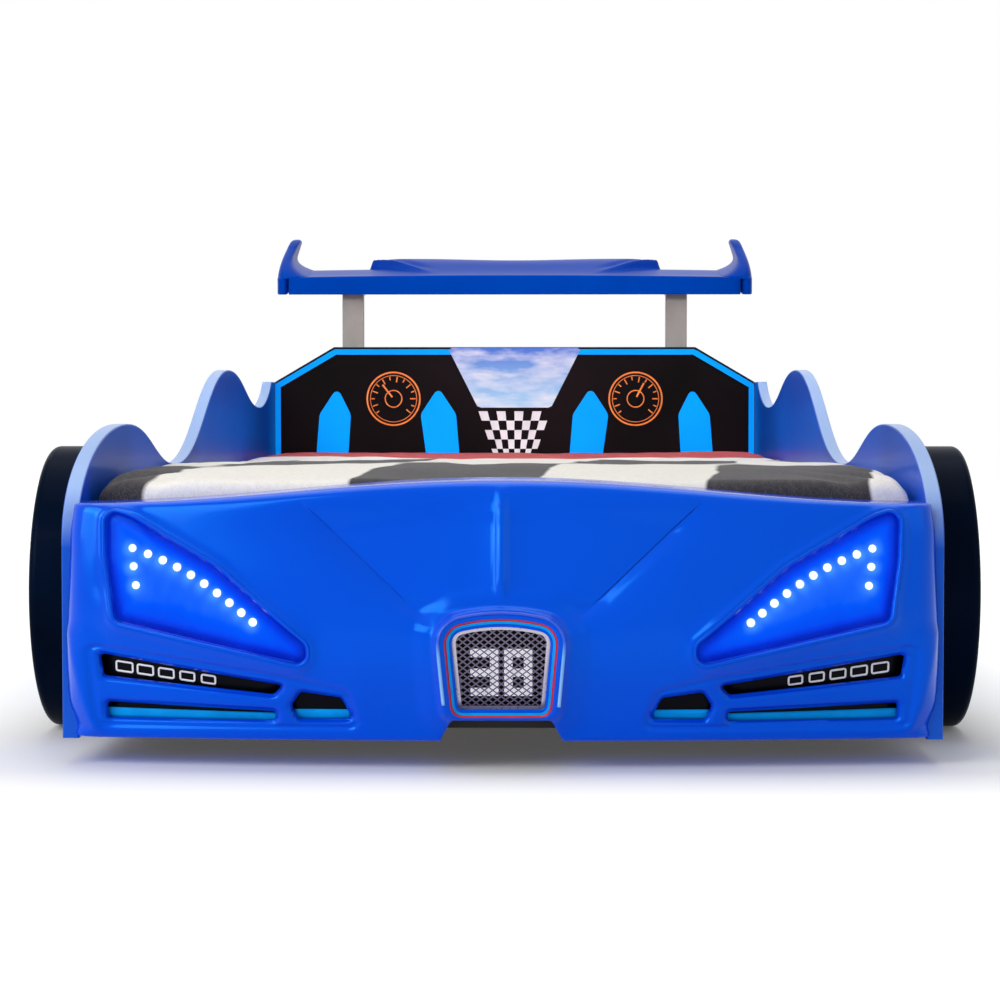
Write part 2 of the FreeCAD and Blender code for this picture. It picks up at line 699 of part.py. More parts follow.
def front_points(x):
    """The front's guiding points at one x, as (y, z) pairs from its lower lip to the hood's rear."""
    bow = 1 - (x / v.bumper_half) ** 2
    share = end_share(x)
    foot = share * (v.foot_corner + (v.foot_centre - v.foot_corner) * bow)
    nose = share * (v.nose_corner + (v.nose_reach + 1.1 - v.nose_corner) * bow)
    brow = share * (v.brow_corner + (v.brow_centre - v.brow_corner) * bow)
    roll = v.roll_corner + (v.roll_centre - v.roll_corner) * bow
    top = hood_height(x)
    low = v.bumper_low
    back = v.foot_back
    return [(back, low), (back * 0.7, low), (back * 0.4, low), (12 - foot, low), (2 - foot, low),
            (-foot, low + 12), (-(0.6 * foot + 0.4 * nose), low + 50), (-nose, v.nose_high - 28),
            (-nose, v.nose_high + 28), (-(0.4 * nose + 0.6 * brow), top - roll - 36), (-brow, top - roll),
            (0.25 * roll - brow, top - 0.2 * roll), (0.8 * roll - brow, top), (1.6 * roll - brow, top),
            (back * 0.5, top), (back * 0.75, top), (back, top)]


def moved_in(pairs, depth):
    """Guiding points shifted into the front, each along its own neighbours' normal."""
    last = len(pairs) - 1
    shifted = []
    for index, (y, z) in enumerate(pairs):
        before, after = pairs[max(index - 1, 0)], pairs[min(index + 1, last)]
        along = Vector(0, after[0] - before[0], after[1] - before[1]).normalize()
        shifted.append((y + along.z * depth, z - along.y * depth))
    return shifted


def even_knots(count):
    """Knots and multiplicities of a cubic spline over a number of guiding points."""
    spans = count - 3
    return [float(knot) for knot in range(spans + 1)], [4] + [1] * (spans - 1) + [4]


def front_surface(depth):
    """The smooth surface at a depth behind the front's outer face."""
    rows = [[Vector(x, y, z) for y, z in moved_in(front_points(x), depth)] for x in stations()]
    across_knots, across_mults = even_knots(len(rows))
    up_knots, up_mults = even_knots(len(rows[0]))
    surface = Part.BSplineSurface()
    surface.buildFromPolesMultsKnots(rows, across_mults, up_mults, across_knots, up_knots, False, False, 3, 3)
    return surface


def end_cap(one, other):
    """The flat face between two curved edges that end beside each other."""
    ends = [Part.makeLine(one.Vertexes[index].Point, other.Vertexes[index].Point) for index in (0, -1)]
    return Part.Face(Part.Wire(Part.__sortEdges__([one, ends[0], other, ends[1]])))


def front_shell(near, far):
    """The skin between two depths: two smooth faces closed at the ends and along the rear."""
    outer, inner = front_surface(near), front_surface(far)
    u0, u1, v0, v1 = outer.bounds()
    faces = [outer.toShape(), inner.toShape()]
    faces += [end_cap(outer.uIso(u).toShape(), inner.uIso(u).toShape()) for u in (u0, u1)]
    faces += [Part.makeRuledSurface(outer.vIso(w).toShape(), inner.vIso(w).toShape()) for w in (v0, v1)]
    shell = Part.makeShell(faces)
    shell.sewShape()
    solid = Part.makeSolid(shell)
    return solid if solid.Volume > 0 else solid.reversed()


BEHIND = {}


def behind(depth):
    """The room behind the front's face: near it a true offset, deeper down a plain shift back."""
    if depth not in BEHIND:
        straight = depth > 8
        surface = front_surface(0 if straight else depth)
        u0, u1, v0, v1 = surface.bounds()
        face = surface.toShape(u0, u1, v0 + 2.5, v1 - 3.2)
        room = face.extrude(Vector(0, v.nose_reach + 60, 0))
        if straight:
            room.translate(Vector(0, depth, 0))
        BEHIND[depth] = room
    return BEHIND[depth]


def layer(solid, near, far):
    """The part of a solid that lies between two depths behind the front's face."""
    return solid.common(behind(near)).cut(behind(far))


def face_y(x, z, depth=0):
    """The Y of the surface at a depth behind the front's face, at one x and height."""
    line = Part.makeLine(Vector(x, -v.nose_reach * 2, z), Vector(x, v.foot_back, z))
    return front_surface(depth).toShape().distToShape(line)[1][0][0].y


def prism(wire):
    """An outline in the XZ plane, carried through the whole depth of the front."""
    return carried(Part.Face(wire))


def carried(face):
    """A flat face in the XZ plane, carried from ahead of the front to just before the footboard."""
    deep = v.nose_reach + 20
    solid = face.extrude(Vector(0, deep + v.footboard_at - 12, 0))
    solid.translate(Vector(0, -deep, 0))
    return solid


def grown(wire, distance):
    """The same outline, larger or smaller by a distance all round."""
    return wire.makeOffset2D(distance)


def lamp_outline():
    """The left lamp's opening: broad at the bed's corner, pointed towards the grille."""
    end = -v.bumper_half
    low = v.nose_high
    return rounded_outline([(end + 38, v.hood_corner - 9, 9), (end + 39, low + 76, 60), (end + 49, low + 9, 11),
                            (end + 257, low - 36, 10), (end + 257, low - 14, 12), (end + 160, low + 68, 100),
                            (end + 72, v.hood_corner - 16, 50), (end + 56, v.hood_corner - 9, 8)])


def lamp_row():
    """Places of the lamps on their strip: a slanting row, and two more below its outer end."""
    end = -v.bumper_half
    start = Vector(end + 65, 0, v.nose_high + 85)
    stop = Vector(end + 198, 0, v.nose_high + 8)
    spots = []
    for share in evenly(0, 1, v.led_count):
        spot = start + (stop - start) * share
        spot.z += 9 * math.sin(math.pi * share)
        spots.append(spot)
    return spots + [start + Vector(1, 0, -18), start + Vector(3.5, 0, -37)]


def tray(opening, deep):
    """A tray behind an opening: its rim lies against the back of the formed plastic."""
    near = v.bumper_wall + v.tray_gap
    outer = layer(prism(grown(opening, v.tray_lap)), near, deep + v.tray_wall)
    hollow = layer(prism(grown(opening, v.tray_lap - v.tray_wall)), near - 1, deep)
    return outer.cut(hollow)


def make_lamps():
    opening = lamp_outline()
    deep = v.lamp_deep
    shell = tray(opening, deep)
    gland = turned([(0, -17), (6, -17), (6, 0), (0, 0)], OUT["y"], lamp_gland())
    housing = feature("lamp_tray_left", shell.fuse(gland.cut(shell_room(deep))).removeSplitter())
    near = v.bumper_wall + v.seat_gap
    pane = prism(grown(opening, v.pane_lap))
    lens = feature("lamp_pane_left", layer(pane, near, near + v.lens_thick))
    leds = feature("lamp_strip_left", led_strip(deep - v.seat_gap))
    for kind, piece in (("headlight_housing", housing), ("headlight_lens", lens),
                        ("headlight_leds", leds)):
        keep(piece, f"{kind}_left")
        keep(mirrored(f"{kind}_right", piece))


def shell_room(deep):
    """The room ahead of a tray's floor, which its gland must not enter."""
    room = Part.makeBox(v.bumper_half, v.nose_reach * 3, v.hood_centre)
    room.translate(Vector(-v.bumper_half, -v.nose_reach * 2, 0))
    return room.cut(behind(deep + v.tray_wall / 2))


def led_strip(floor):
    """A bent strip on the lamp's floor with its row of small round lamps."""
    row = lamp_row()
    bands = []
    for start, end in ((row[0], row[-3]), (row[0], row[-1])):
        along = (end - start).normalize()
        side = Vector(along.z, 0, -along.x) * (v.strip_wide / 2 + 5)
        first, last = start - along * 6, end + along * 6
        ring = Part.makePolygon([first + side, last + side, last - side, first - side, first + side])
        bands.append(prism(ring))
    base = layer(bands[0].fuse(bands[1]), floor - 1.5, floor)
    rings = [Part.Wire(Part.makeCircle(v.led_radius, place, OUT["y"])) for place in row]
    lights = [layer(prism(ring), floor - 1.5 - v.led_tall, floor - 1.4) for ring in rings]
    return base.multiFuse(lights).removeSplitter()


def lamp_gland():
    """The rear end of the left lamp's cable gland."""
    x, z = -v.bumper_half + 163, v.nose_high + 20
    return Vector(x, face_y(x, z) + v.lamp_deep + v.tray_wall + 15.5, z)


def vent_outlines():
    """The left side's three air vents: upper, lower and inner."""
    end = -v.bumper_half
    low = v.bumper_low
    upper = rounded_outline([(end + 32, low + 93, 2), (end + 35, low + 69, 2), (end + 220, low + 51, 3),
                             (end + 230, low + 61, 2)])
    lower = rounded_outline([(end + 38, low + 40, 2), (end + 38, low + 23, 2), (end + 221, low + 22, 2),
                             (end + 221, low + 32, 2)])
    inner = rounded_outline([(end + 249, low + 54, 4), (end + 239, low + 39, 3), (end + 246, low + 24, 3),
                             (end + 304, low + 25, 3), (end + 292, low + 48, 4)])
    return upper, lower, inner


def make_vents():
    """One dark tray behind the three vents of each side, with a blue stripe in the lower ones."""
    end = -v.bumper_half
    low = v.bumper_low
    around = rounded_outline([(end + 30, low + 98, 6), (end + 34, low + 19, 6), (end + 308, low + 19, 6),
                              (end + 296, low + 52, 6), (end + 229, low + 66, 8)])
    tray_left = feature("vent_back_left", tray(around, v.vent_deep))
    keep(tray_left, "vent_tray_left")
    keep(mirrored("vent_tray_right", tray_left))
    floor = v.vent_deep - v.seat_gap
    spans = ((end + 40, end + 224, low + 24, low + 31), (end + 242, end + 302, low + 23, low + 30))
    stripes = []
    for start, stop, bottom, top in spans:
        ring = Part.makePolygon([Vector(start, 0, bottom), Vector(stop, 0, bottom), Vector(stop, 0, top),
                                 Vector(start, 0, top), Vector(start, 0, bottom)])
        stripes.append(layer(prism(ring), floor - v.stripe_thick, floor))
    left = Part.makeCompound(stripes)
    both = Part.makeCompound([left, left.mirror(Vector(), OUT["x"])])
    keep(feature("vent_stripes", both))


def grille_outline():
    """The grille's opening: arched and round-shouldered above, narrower below."""
    low, shoulder, crown = v.number_at - 40, v.number_at + 44, v.number_at + 55.5
    return rounded_outline([(-46, low, 5), (46, low, 5), (53, shoulder, 14), (0, crown, 180), (-53, shoulder, 14)])


def mesh_face(outline):
    """A flat sheet of wire mesh: one face with a diamond hole in every cell."""
    box = outline.BoundBox
    across, rise = v.mesh_pitch, v.mesh_rise
    bar_x, bar_z = across / 2 - v.mesh_wire * 0.75, rise / 2 - v.mesh_wire * 0.6
    holes = []
    rows = int(box.ZLength / rise * 2)
    columns = int(box.XLength / across / 2) + 1
    for row in range(-rows // 2, rows // 2 + 1):
        shift = 0.5 if row % 2 else 0
        for column in range(-columns, columns + 1):
            x = (column + shift) * across
            z = box.Center.z + row * rise / 2
            spots = [Vector(x - bar_x, 0, z), Vector(x, 0, z + bar_z), Vector(x + bar_x, 0, z),
                     Vector(x, 0, z - bar_z), Vector(x - bar_x, 0, z)]
            if all(outline_holds(outline, spot) for spot in spots):
                holes.append(Part.makePolygon(spots))
    return Part.Face([outline] + holes)


def mesh_sheet(pane, depth):
    """The mesh before its gaps are cut: a sheet folded to the face's own curve, behind its frame."""
    box = pane.BoundBox
    heights = evenly(box.ZMin - 2, box.ZMax + 2, 8)
    near = [Vector(-box.XMax - 2, face_y(box.XMax, z, depth), z) for z in heights]
    far = [spot + Vector(0, v.mesh_wire, 0) for spot in reversed(near)]
    return Part.Face(Part.makePolygon(near + far + near[:1])).extrude(Vector(2 * box.XMax + 4, 0, 0))


def outline_holds(outline, spot):
    """Whether a spot is well inside an outline."""
    inside = Part.Face(outline).isInside(spot, 0.01, True)
    return inside and outline.distToShape(Part.Vertex(spot))[0] > v.mesh_wire


def digit_outlines(middle_x, strokes):
    """A plain block digit: the strokes of a seven-bar figure, as rectangles (x0, x1, z0, z1)."""
    wide, tall, bar = v.digit_wide / 2, v.digit_tall / 2, v.digit_stroke
    bars = {"top": (-wide, wide, tall - bar, tall), "middle": (-wide, wide, -bar / 2, bar / 2),
            "bottom": (-wide, wide, -tall, bar - tall), "right": (wide - bar, wide, -tall, tall),
            "left": (-wide, bar - wide, -tall, tall)}
    shapes = []
    for stroke in strokes:
        x0, x1, z0, z1 = bars[stroke]
        ring = [(x0, z0), (x1, z0), (x1, z1), (x0, z1), (x0, z0)]
        spots = [Vector(middle_x + x, 0, v.number_at + z) for x, z in ring]
        shapes.append(prism(Part.makePolygon(spots)))
    return shapes[0].multiFuse(shapes[1:]).removeSplitter()


def make_grille():
    opening = grille_outline()
    keep(feature("grille_tray", tray(opening, v.grille_deep)))
    pane = grown(opening, v.pane_lap)
    near = v.bumper_wall + v.seat_gap
    ring = prism(pane).cut(prism(grown(opening, -v.frame_wide)))
    keep(feature("grille_frame", layer(ring, near, near + 2)))
    mesh_at = near + 2 + v.seat_gap
    keep(feature("grille_mesh", mesh_sheet(pane, mesh_at).common(carried(mesh_face(pane)))))
    step = (v.digit_wide + v.digit_gap) / 2
    floor = v.grille_deep - v.seat_gap
    three = digit_outlines(-step, ("top", "middle", "bottom", "right"))
    eight = digit_outlines(step, ("top", "middle", "bottom", "right", "left"))
    digits = [layer(digit, floor - v.digit_thick, floor) for digit in (three, eight)]
    keep(feature("race_number", Part.makeCompound(digits)))


def hood_panel_outline():
    """The V-shaped middle panel that the two hood creases bound."""
    low = v.number_at + 62
    return rounded_outline([(-112, low, 10), (112, low, 10), (238, v.hood_corner - 4, 10),
                            (-238, v.hood_corner - 4, 10)])


def clear_of_boards():
    """The room that the side boards take behind the front's two ends."""
    rooms = []
    start = v.half - v.deck_gap
    for side in (LEFT, RIGHT):
        room = Part.makeBox(v.board * 2, v.foot_back + 2, v.headboard_top)
        room.translate(Vector(start if side == RIGHT else -start - v.board * 2, -v.seat_gap, 0))
        rooms.append(room)
    return rooms


def make_bumper():
    """The formed front: one skin with openings for lamps, vents and grille, and an arch below."""
    wall = v.bumper_wall
    panel = hood_panel_outline()
    whole = front_shell(0, wall)
    pressed = layer(prism(grown(panel, wall)), v.panel_recess, v.panel_recess + wall)
    pressing = prism(panel).cut(behind(v.panel_recess))
    whole = whole.cut(pressing).fuse(pressed)
    arch = Part.makeBox(v.arch_wide, v.nose_reach + v.foot_back + 2, v.arch_high)
    arch.translate(Vector(-v.arch_wide / 2, -v.nose_reach - 2, 0))
    holes = [prism(grille_outline()), arch] + clear_of_boards() + lip_screw_holes()
    for outline in (lamp_outline(),) + vent_outlines():
        hole = prism(outline)
        holes += [hole, hole.mirror(Vector(), OUT["x"])]
    keep(feature("bumper_shell", whole.cut(holes)))


def lip_screw_spots():
    """Screws that hold the front's lower lip up against the footboard."""
    return [Vector(x, v.footboard_at + v.board / 2, v.bumper_low)
            for x in (-v.half * 0.8, -v.half * 0.3, v.half * 0.3, v.half * 0.8)]


def lip_screw_holes():
    down = Vector(0, 0, -1)
    return [drilling(spot, down, v.screw_radius + v.bore_gap, 23) for spot in lip_screw_spots()]


# ---------------------------------------------------------------- wheels

def stand_wheel(kind, body):
    """Place the front right wheel's piece, whose own X leads outwards, and copy it to the others."""
    bind(body, "Placement.Base.x", "outer")
    bind(body, "Placement.Base.y", "front + wheel_front_at")
    bind(body, "Placement.Base.z", "wheel_radius")
    rear = group(f"{kind}_rear_right", [body])
    bind(rear, "Placement.Base.y", "wheel_rear_at - wheel_front_at")
    for place, piece in (("front", body), ("rear", rear)):
        keep(piece, f"{kind}_{place}_right")
        keep(mirrored(f"{kind}_{place}_left", piece))


def make_tyre():
    """A hollow formed tyre: tread, outer side and an inner bead that meets the wooden disc."""
    body = doc.addObject("PartDesign::Body", "tyre")
    wide, big, wall, bead = "wheel_wide", "wheel_radius", "tyre_wall", "tyre_bead"
    inner = "board + seat_gap"
    corners = [("seat_gap", f"{big} - {wall}"), ("seat_gap", big), (wide, big), (wide, bead),
               (inner, bead), (inner, f"{bead} + {wall}"), (f"{wide} - {wall}", f"{bead} + {wall}"),
               (f"{wide} - {wall}", f"{big} - {wall}")]
    sketch = sketched(body, "tyre_section", "XY_Plane", corners)
    ring = spun(body, sketch, "tyre_ring")
    doc.recompute()
    shoulder = body.newObject("PartDesign::Fillet", "tyre_shoulder_round")
    shoulder.Base = (ring, [circle_name(ring.Shape, v.wheel_wide, v.wheel_radius)])
    bind(shoulder, "Radius", "tyre_shoulder")
    stand_wheel("tyre", body)


def circle_name(shape, x, radius):
    """The name of the round edge with this radius that lies at this x."""
    for index, edge in enumerate(shape.Edges, start=1):
        box = edge.BoundBox
        if abs(box.XMin - x) < 0.01 and abs(box.XMax - x) < 0.01 and abs(box.YMax - radius) < 0.01:
            return f"Edge{index}"


def make_rim():
    """A rim: back plate, outer ring and hub in one spin, then spokes round the hub."""
    body = doc.addObject("PartDesign::Body", "rim")
    start = "board + seat_gap"
    plate = "board + seat_gap + rim_back"
    face = "rim_face"
    corners = [(start, "4 + bore_gap"), (start, "rim_radius"), (face, "rim_radius"),
               (face, "rim_radius - 4"), ("rim_face - 12", "rim_radius - rim_ring"),
               (plate, "rim_radius - rim_ring"), (plate, "hub_radius"), ("rim_face - 4", "hub_radius"),
               ("rim_face - 4", "cap_radius - 4"), ("rim_face - 16", "cap_radius - 4"),
               ("rim_face - 16", "4 + bore_gap")]
    sketch = sketched(body, "rim_section", "XY_Plane", corners)
    spun(body, sketch, "rim_spin")
    spoke = [("hub_radius - 4", "-spoke_wide / 2"), ("rim_radius - rim_ring + 4", "-spoke_wide / 3"),
             ("rim_radius - rim_ring + 4", "spoke_wide / 3"), ("hub_radius - 4", "spoke_wide / 2")]
    outline = sketched(body, "spoke_outline", "YZ_Plane", spoke)
    bind(outline, "AttachmentOffset.Base.z", "rim_face - 12 - spoke_deep")
    arm = padded(body, outline, "spoke_deep", "spoke")
    doc.recompute()
    ring = body.newObject("PartDesign::PolarPattern", "spokes")
    ring.Originals = [arm]
    ring.Axis = (plane_of(body, "X_Axis"), [""])
    ring.Angle = 360
    bind(ring, "Occurrences", "spoke_count")
    body.Tip = ring
    stand_wheel("rim", body)


def make_wheel_small_parts():
    """Wooden discs, their screws, the rim bolts and the hub caps, four of each."""
    discs, caps, bolts, screws = [], [], [], []
    for side in (LEFT, RIGHT):
        out = Vector(side, 0, 0)
        for place, middle in wheel_middles():
            at = Vector(side * v.outer, middle, v.wheel_radius)
            disc = turned([(0, 0), (v.disc_radius, 0), (v.disc_radius, v.board), (0, v.board)], out, at)
            holes = [drilling(at + out * v.board, out, 4 + v.bore_gap, v.board + 1)]
            for dy in (-v.wheel_screw_out, v.wheel_screw_out):
                for dz in (-v.wheel_screw_out, v.wheel_screw_out):
                    spot = at + Vector(0, dy, dz) + out * (v.board - v.screw_cap)
                    screws.append(fastener(spot, out, v.screw_radius, v.board - v.screw_cap + 12,
                                           v.screw_head, v.screw_cap))
                    holes.append(drilling(spot, out, v.screw_radius + v.bore_gap, v.board))
                    holes.append(turned([(0, 0), (v.screw_head + v.bore_gap, 0),
                                         (v.screw_head + v.bore_gap, v.screw_cap + 1),
                                         (0, v.screw_cap + 1)], out, spot))
            discs.append(disc.cut(holes))
            bolts.append(fastener(at + out * (v.rim_face - 16), out, 4, v.rim_face - 16 + 10, 7, 5))
            cap_at = at + out * (v.rim_face - 4 + v.seat_gap)
            r, plug = v.cap_radius, v.cap_radius - 4 - v.seat_gap
            caps.append(turned([(0, -5), (plug, -5), (plug, 0), (r, 0), (r, 2), (r * 0.8, 5), (r * 0.45, 7),
                                (0, 7.6)], out, cap_at))
    keep(feature("wheel_discs", Part.makeCompound(discs)))
    keep(feature("wheel_screws", Part.makeCompound(screws)))
    keep(feature("rim_bolts", Part.makeCompound(bolts)))
    keep(feature("hub_caps", Part.makeCompound(caps)))


def make_wheels():
    make_tyre()
    make_rim()
    make_wheel_small_parts()


# ---------------------------------------------------------------- the wing

def wing_section(top_rear, crown_start):
    """The wing's side view as (y, z) pairs, with its own rear height."""
    front, chord = v.wing_front, v.wing_chord
    low, pad = v.wing_low, v.wing_low + v.wing_pad
    face = low + v.wing_face
    points = [(front, low), (front + chord * 0.15, pad), (front + chord * 0.55, pad),
              (front + chord, v.wing_tip - v.wing_tip_thick), (front + chord, top_rear)]
    share = crown_start
    outer_there = face + (v.wing_tip - face) * share
    if top_rear > v.wing_tip:
        points.append((front + chord * 0.72, (top_rear + outer_there) / 2 + (top_rear - v.wing_tip) * 0.3))
    points += [(front + chord * share, outer_there), (front, face)]
    return points


def slab(points, x, wide):
    """A side view in the YZ plane, carried across the bed from x."""
    spots = [Vector(x, y, z) for y, z in points]
    return Part.Face(Part.makePolygon(spots + spots[:1])).extrude(Vector(wide, 0, 0))


def make_wing():
    """The wing: a straight aerofoil with a raised middle whose ends slant like arrowheads."""
    span, crown = v.wing_span / 2, v.wing_crown_wide / 2
    plain = slab(wing_section(v.wing_tip, 0.5), -span, v.wing_span)
    raised = slab(wing_section(v.wing_crown, 0.3), -crown, v.wing_crown_wide)
    front, rear = v.wing_front, v.wing_front + v.wing_chord
    wedges = []
    for side in (LEFT, RIGHT):
        tip = Vector(side * crown, rear + 1, 0)
        spots = [tip, Vector(side * (crown + 1), rear + 1, 0), Vector(side * (crown + 1), front, 0),
                 Vector(side * (crown - v.wing_chord * 0.9), front, 0), tip]
        wedge = Part.Face(Part.makePolygon(spots)).extrude(Vector(0, 0, v.wing_crown))
        wedges.append(wedge)
    body = plain.fuse(raised.cut(wedges)).removeSplitter()
    holes = [drilling(spot, Vector(0, 0, -1), v.screw_radius + v.bore_gap, 19) for spot in plate_screw_spots()]
    keep(feature("spoiler_wing", body.cut(holes)))


def make_fins():
    """The two end fins: low at the front, swept up to a round top at the rear."""
    front, rear = v.wing_front, v.wing_front + v.wing_chord
    x = -v.wing_span / 2 - v.fin_thick
    low = Vector(x, front, v.wing_low)
    shoulder = Vector(x, front, v.wing_low + v.wing_face + 4)
    top = v.fin_top
    peak = Vector(x, rear - 42, top)
    back = Vector(x, rear, top - 26)
    base = Vector(x, rear, v.wing_tip - v.wing_tip_thick - 12)
    pad = Vector(x, front + v.wing_chord * 0.55, v.wing_low + v.wing_pad - 2)
    sweep = Part.BezierCurve()
    sweep.setPoles([shoulder, shoulder + Vector(0, 70, 12), peak - Vector(0, 50, 0), peak])
    tip = Part.BezierCurve()
    tip.setPoles([peak, peak + Vector(0, 28, 0), back + Vector(0, 0, 16), back])
    edges = [Part.makeLine(low, shoulder), sweep.toShape(), tip.toShape(), Part.makeLine(back, base),
             Part.makeLine(base, pad), Part.makeLine(pad, low)]
    fin = Part.Face(Part.Wire(edges)).extrude(Vector(v.fin_thick, 0, 0))
    upper = [edge for edge in fin.Edges if edge.BoundBox.XLength < 0.01 and edge.BoundBox.ZMin > base.z - 1
             and edge.BoundBox.ZMax > shoulder.z + 1]
    fin = fin.makeFillet(v.fin_round, upper)
    left = feature("fin_left", fin)
    keep(left, "spoiler_fin_left")
    keep(mirrored("spoiler_fin_right", left))


def make_posts():
    """Square tubes behind the headboard, each with a plate on top that carries the wing."""
    for name, side in SIDES:
        middle = "-post_out" if side == LEFT else "post_out"
        outside = block(f"post_outside_{name}", ("post_wide", "post_deep", "post_top - post_low"),
                        (f"{middle} - post_wide / 2", "front + board_long", "post_low"))
        inside = block(f"post_inside_{name}",
                       ("post_wide - 2 * post_wall", "post_deep - 2 * post_wall", "post_top - post_low + 2"),
                       (f"{middle} - post_wide / 2 + post_wall", "front + board_long + post_wall",
                        "post_low - 1"))
        tube = cut(f"post_tube_{name}", outside, inside)
        holes = [drilling(spot, OUT["y"], v.screw_radius + v.bore_gap, 47) for spot in post_screw_spots(side)]
        keep(cut(f"spoiler_post_{name}", tube, feature(f"post_holes_{name}", Part.makeCompound(holes))))
    plates = []
    for side in (LEFT, RIGHT):
        plate = Part.makeBox(v.post_wide, v.plate_long, v.plate_thick)
        plate.translate(Vector(side * v.post_out - v.post_wide / 2, v.board_long, v.post_top))
        holes = [drilling(spot, Vector(0, 0, -1), v.screw_radius + v.bore_gap, 19)
                 for spot in plate_screw_spots()]
        plates.append(plate.cut(holes))
    keep(feature("post_plates", Part.makeCompound(plates)))


def post_screw_spots(side):
    """Screws through a post into the headboard: the back of the tube, at two heights."""
    y = v.board_long + v.post_deep
    return [Vector(side * v.post_out, y, z) for z in (v.post_low + 40, v.headboard_shoulder - 10)]


def post_screw_holes():
    return [drilling(spot, OUT["y"], v.screw_radius + v.bore_gap, v.post_deep + 15)
            for side in (LEFT, RIGHT) for spot in post_screw_spots(side)]


def plate_screw_spots():
    """Screws up through the plates into the wing, behind each post."""
    y = v.board_long + (v.post_deep + v.plate_long) / 2
    return [Vector(side * v.post_out + dx, y, v.post_top) for side in (LEFT, RIGHT) for dx in (-12, 12)]


def make_wing_screws():
    screws = []
    for side in (LEFT, RIGHT):
        for spot in post_screw_spots(side):
            screws.append(fastener(spot, OUT["y"], v.screw_radius, v.post_deep + 14, v.screw_head,
                                   v.screw_cap))
    for spot in plate_screw_spots():
        screws.append(fastener(spot, Vector(0, 0, -1), v.screw_radius, 18, v.screw_head, v.screw_cap))
    keep(feature("post_screws", Part.makeCompound(screws)))


# ---------------------------------------------------------------- fasteners of the boards

def make_board_fasteners():
    bolts, screws = [], []
    for side in (LEFT, RIGHT):
        out = Vector(side, 0, 0)
        for y, z in board_bolt_spots():
            bolts.append(fastener(Vector(side * v.outer, y, z), out, v.bolt_radius, v.bolt_long,
                                  v.bolt_head, v.bolt_cap))
        for y, z in rail_screw_spots():
            at = Vector(side * (v.half - v.rail_wide), y, z)
            screws.append(fastener(at, out * -1, v.screw_radius, v.rail_wide + 12, v.screw_head, v.screw_cap))
    keep(feature("panel_bolts", Part.makeCompound(bolts)))
    keep(feature("rail_screws", Part.makeCompound(screws)))
    lip = [fastener(spot, Vector(0, 0, -1), v.screw_radius, 22, v.screw_head, v.screw_cap)
           for spot in lip_screw_spots()]
    keep(feature("bumper_screws", Part.makeCompound(lip)))


# ---------------------------------------------------------------- electrics

def make_switch():
    """A rocker switch in the left side board: housing, pin and the rocker that tips about it."""
    wide, tall, rim = v.switch_wide, v.switch_tall, v.switch_rim
    face = -v.outer - v.flange_thick
    flange = Part.makeBox(v.flange_thick, wide + 2 * rim, tall + 2 * rim)
    flange.translate(Vector(face, v.switch_at - wide / 2 - rim, v.works_high - tall / 2 - rim))
    body = Part.makeBox(v.board + 14, wide, tall)
    body.translate(Vector(-v.outer, v.switch_at - wide / 2, v.works_high - tall / 2))
    well = Part.makeBox(9, v.rocker_wide + 1, v.rocker_half * 2 + 2.4)
    well.translate(Vector(face - 1, v.switch_at - v.rocker_wide / 2 - 0.5,
                          v.works_high - v.rocker_half - 1.2))
    pivot = Vector(-v.pivot_out, v.switch_at, v.works_high)
    pin_long = wide - 1
    pin_hole = turned([(0, -pin_long / 2), (v.rocker_pin, -pin_long / 2), (v.rocker_pin, pin_long / 2),
                       (0, pin_long / 2)], OUT["y"], pivot + Vector(2.6, 0, 0))
    keep(feature("switch_housing", flange.fuse(body).removeSplitter().cut([well, pin_hole])))
    keep(feature("switch_pin", pin_hole.copy()))
    make_rocker(pivot + Vector(2.6, 0, 0))


def make_rocker(pivot):
    """The rocker: a shallow V towards the hand, drawn level and then tipped to its ON side."""
    half, wide = v.rocker_half, v.rocker_wide
    side_view = [(-5.2, half), (-3.8, 0), (-5.2, -half), (-1.5, -half), (2.6, -2.4), (2.6, 2.4), (-1.5, half)]
    spots = [Vector(x, -wide / 2, z) for x, z in side_view]
    key = Part.Face(Part.makePolygon(spots + spots[:1])).extrude(Vector(0, wide, 0))
    bore = turned([(0, -wide), (v.rocker_pin + v.pin_gap, -wide), (v.rocker_pin + v.pin_gap, wide), (0, wide)],
                  OUT["y"], Vector())
    key = key.cut(bore)
    key.Placement = Placement(pivot, Rotation(OUT["y"], v.rocker_tilt))
    solid = key.copy()
    keep(feature("rocker_switch", Part.makeCompound([solid]).Solids[0]))


def make_inlet():
    """A round low-voltage inlet: flange outside, body through the board, socket with its pin."""
    at = Vector(-v.outer, v.inlet_at, v.works_high)
    out = Vector(-1, 0, 0)
    lip = v.flange_thick
    long = v.board + 6
    section = [(v.inlet_bore, lip), (v.inlet_flange, lip), (v.inlet_flange, 0), (v.inlet_radius, 0),
               (v.inlet_radius, -long), (0, -long), (0, lip - 1.5), (v.inlet_pin, lip - 1.5),
               (v.inlet_pin, lip - 11), (v.inlet_bore, lip - 11)]
    keep(feature("power_inlet", turned(section, out, at)))


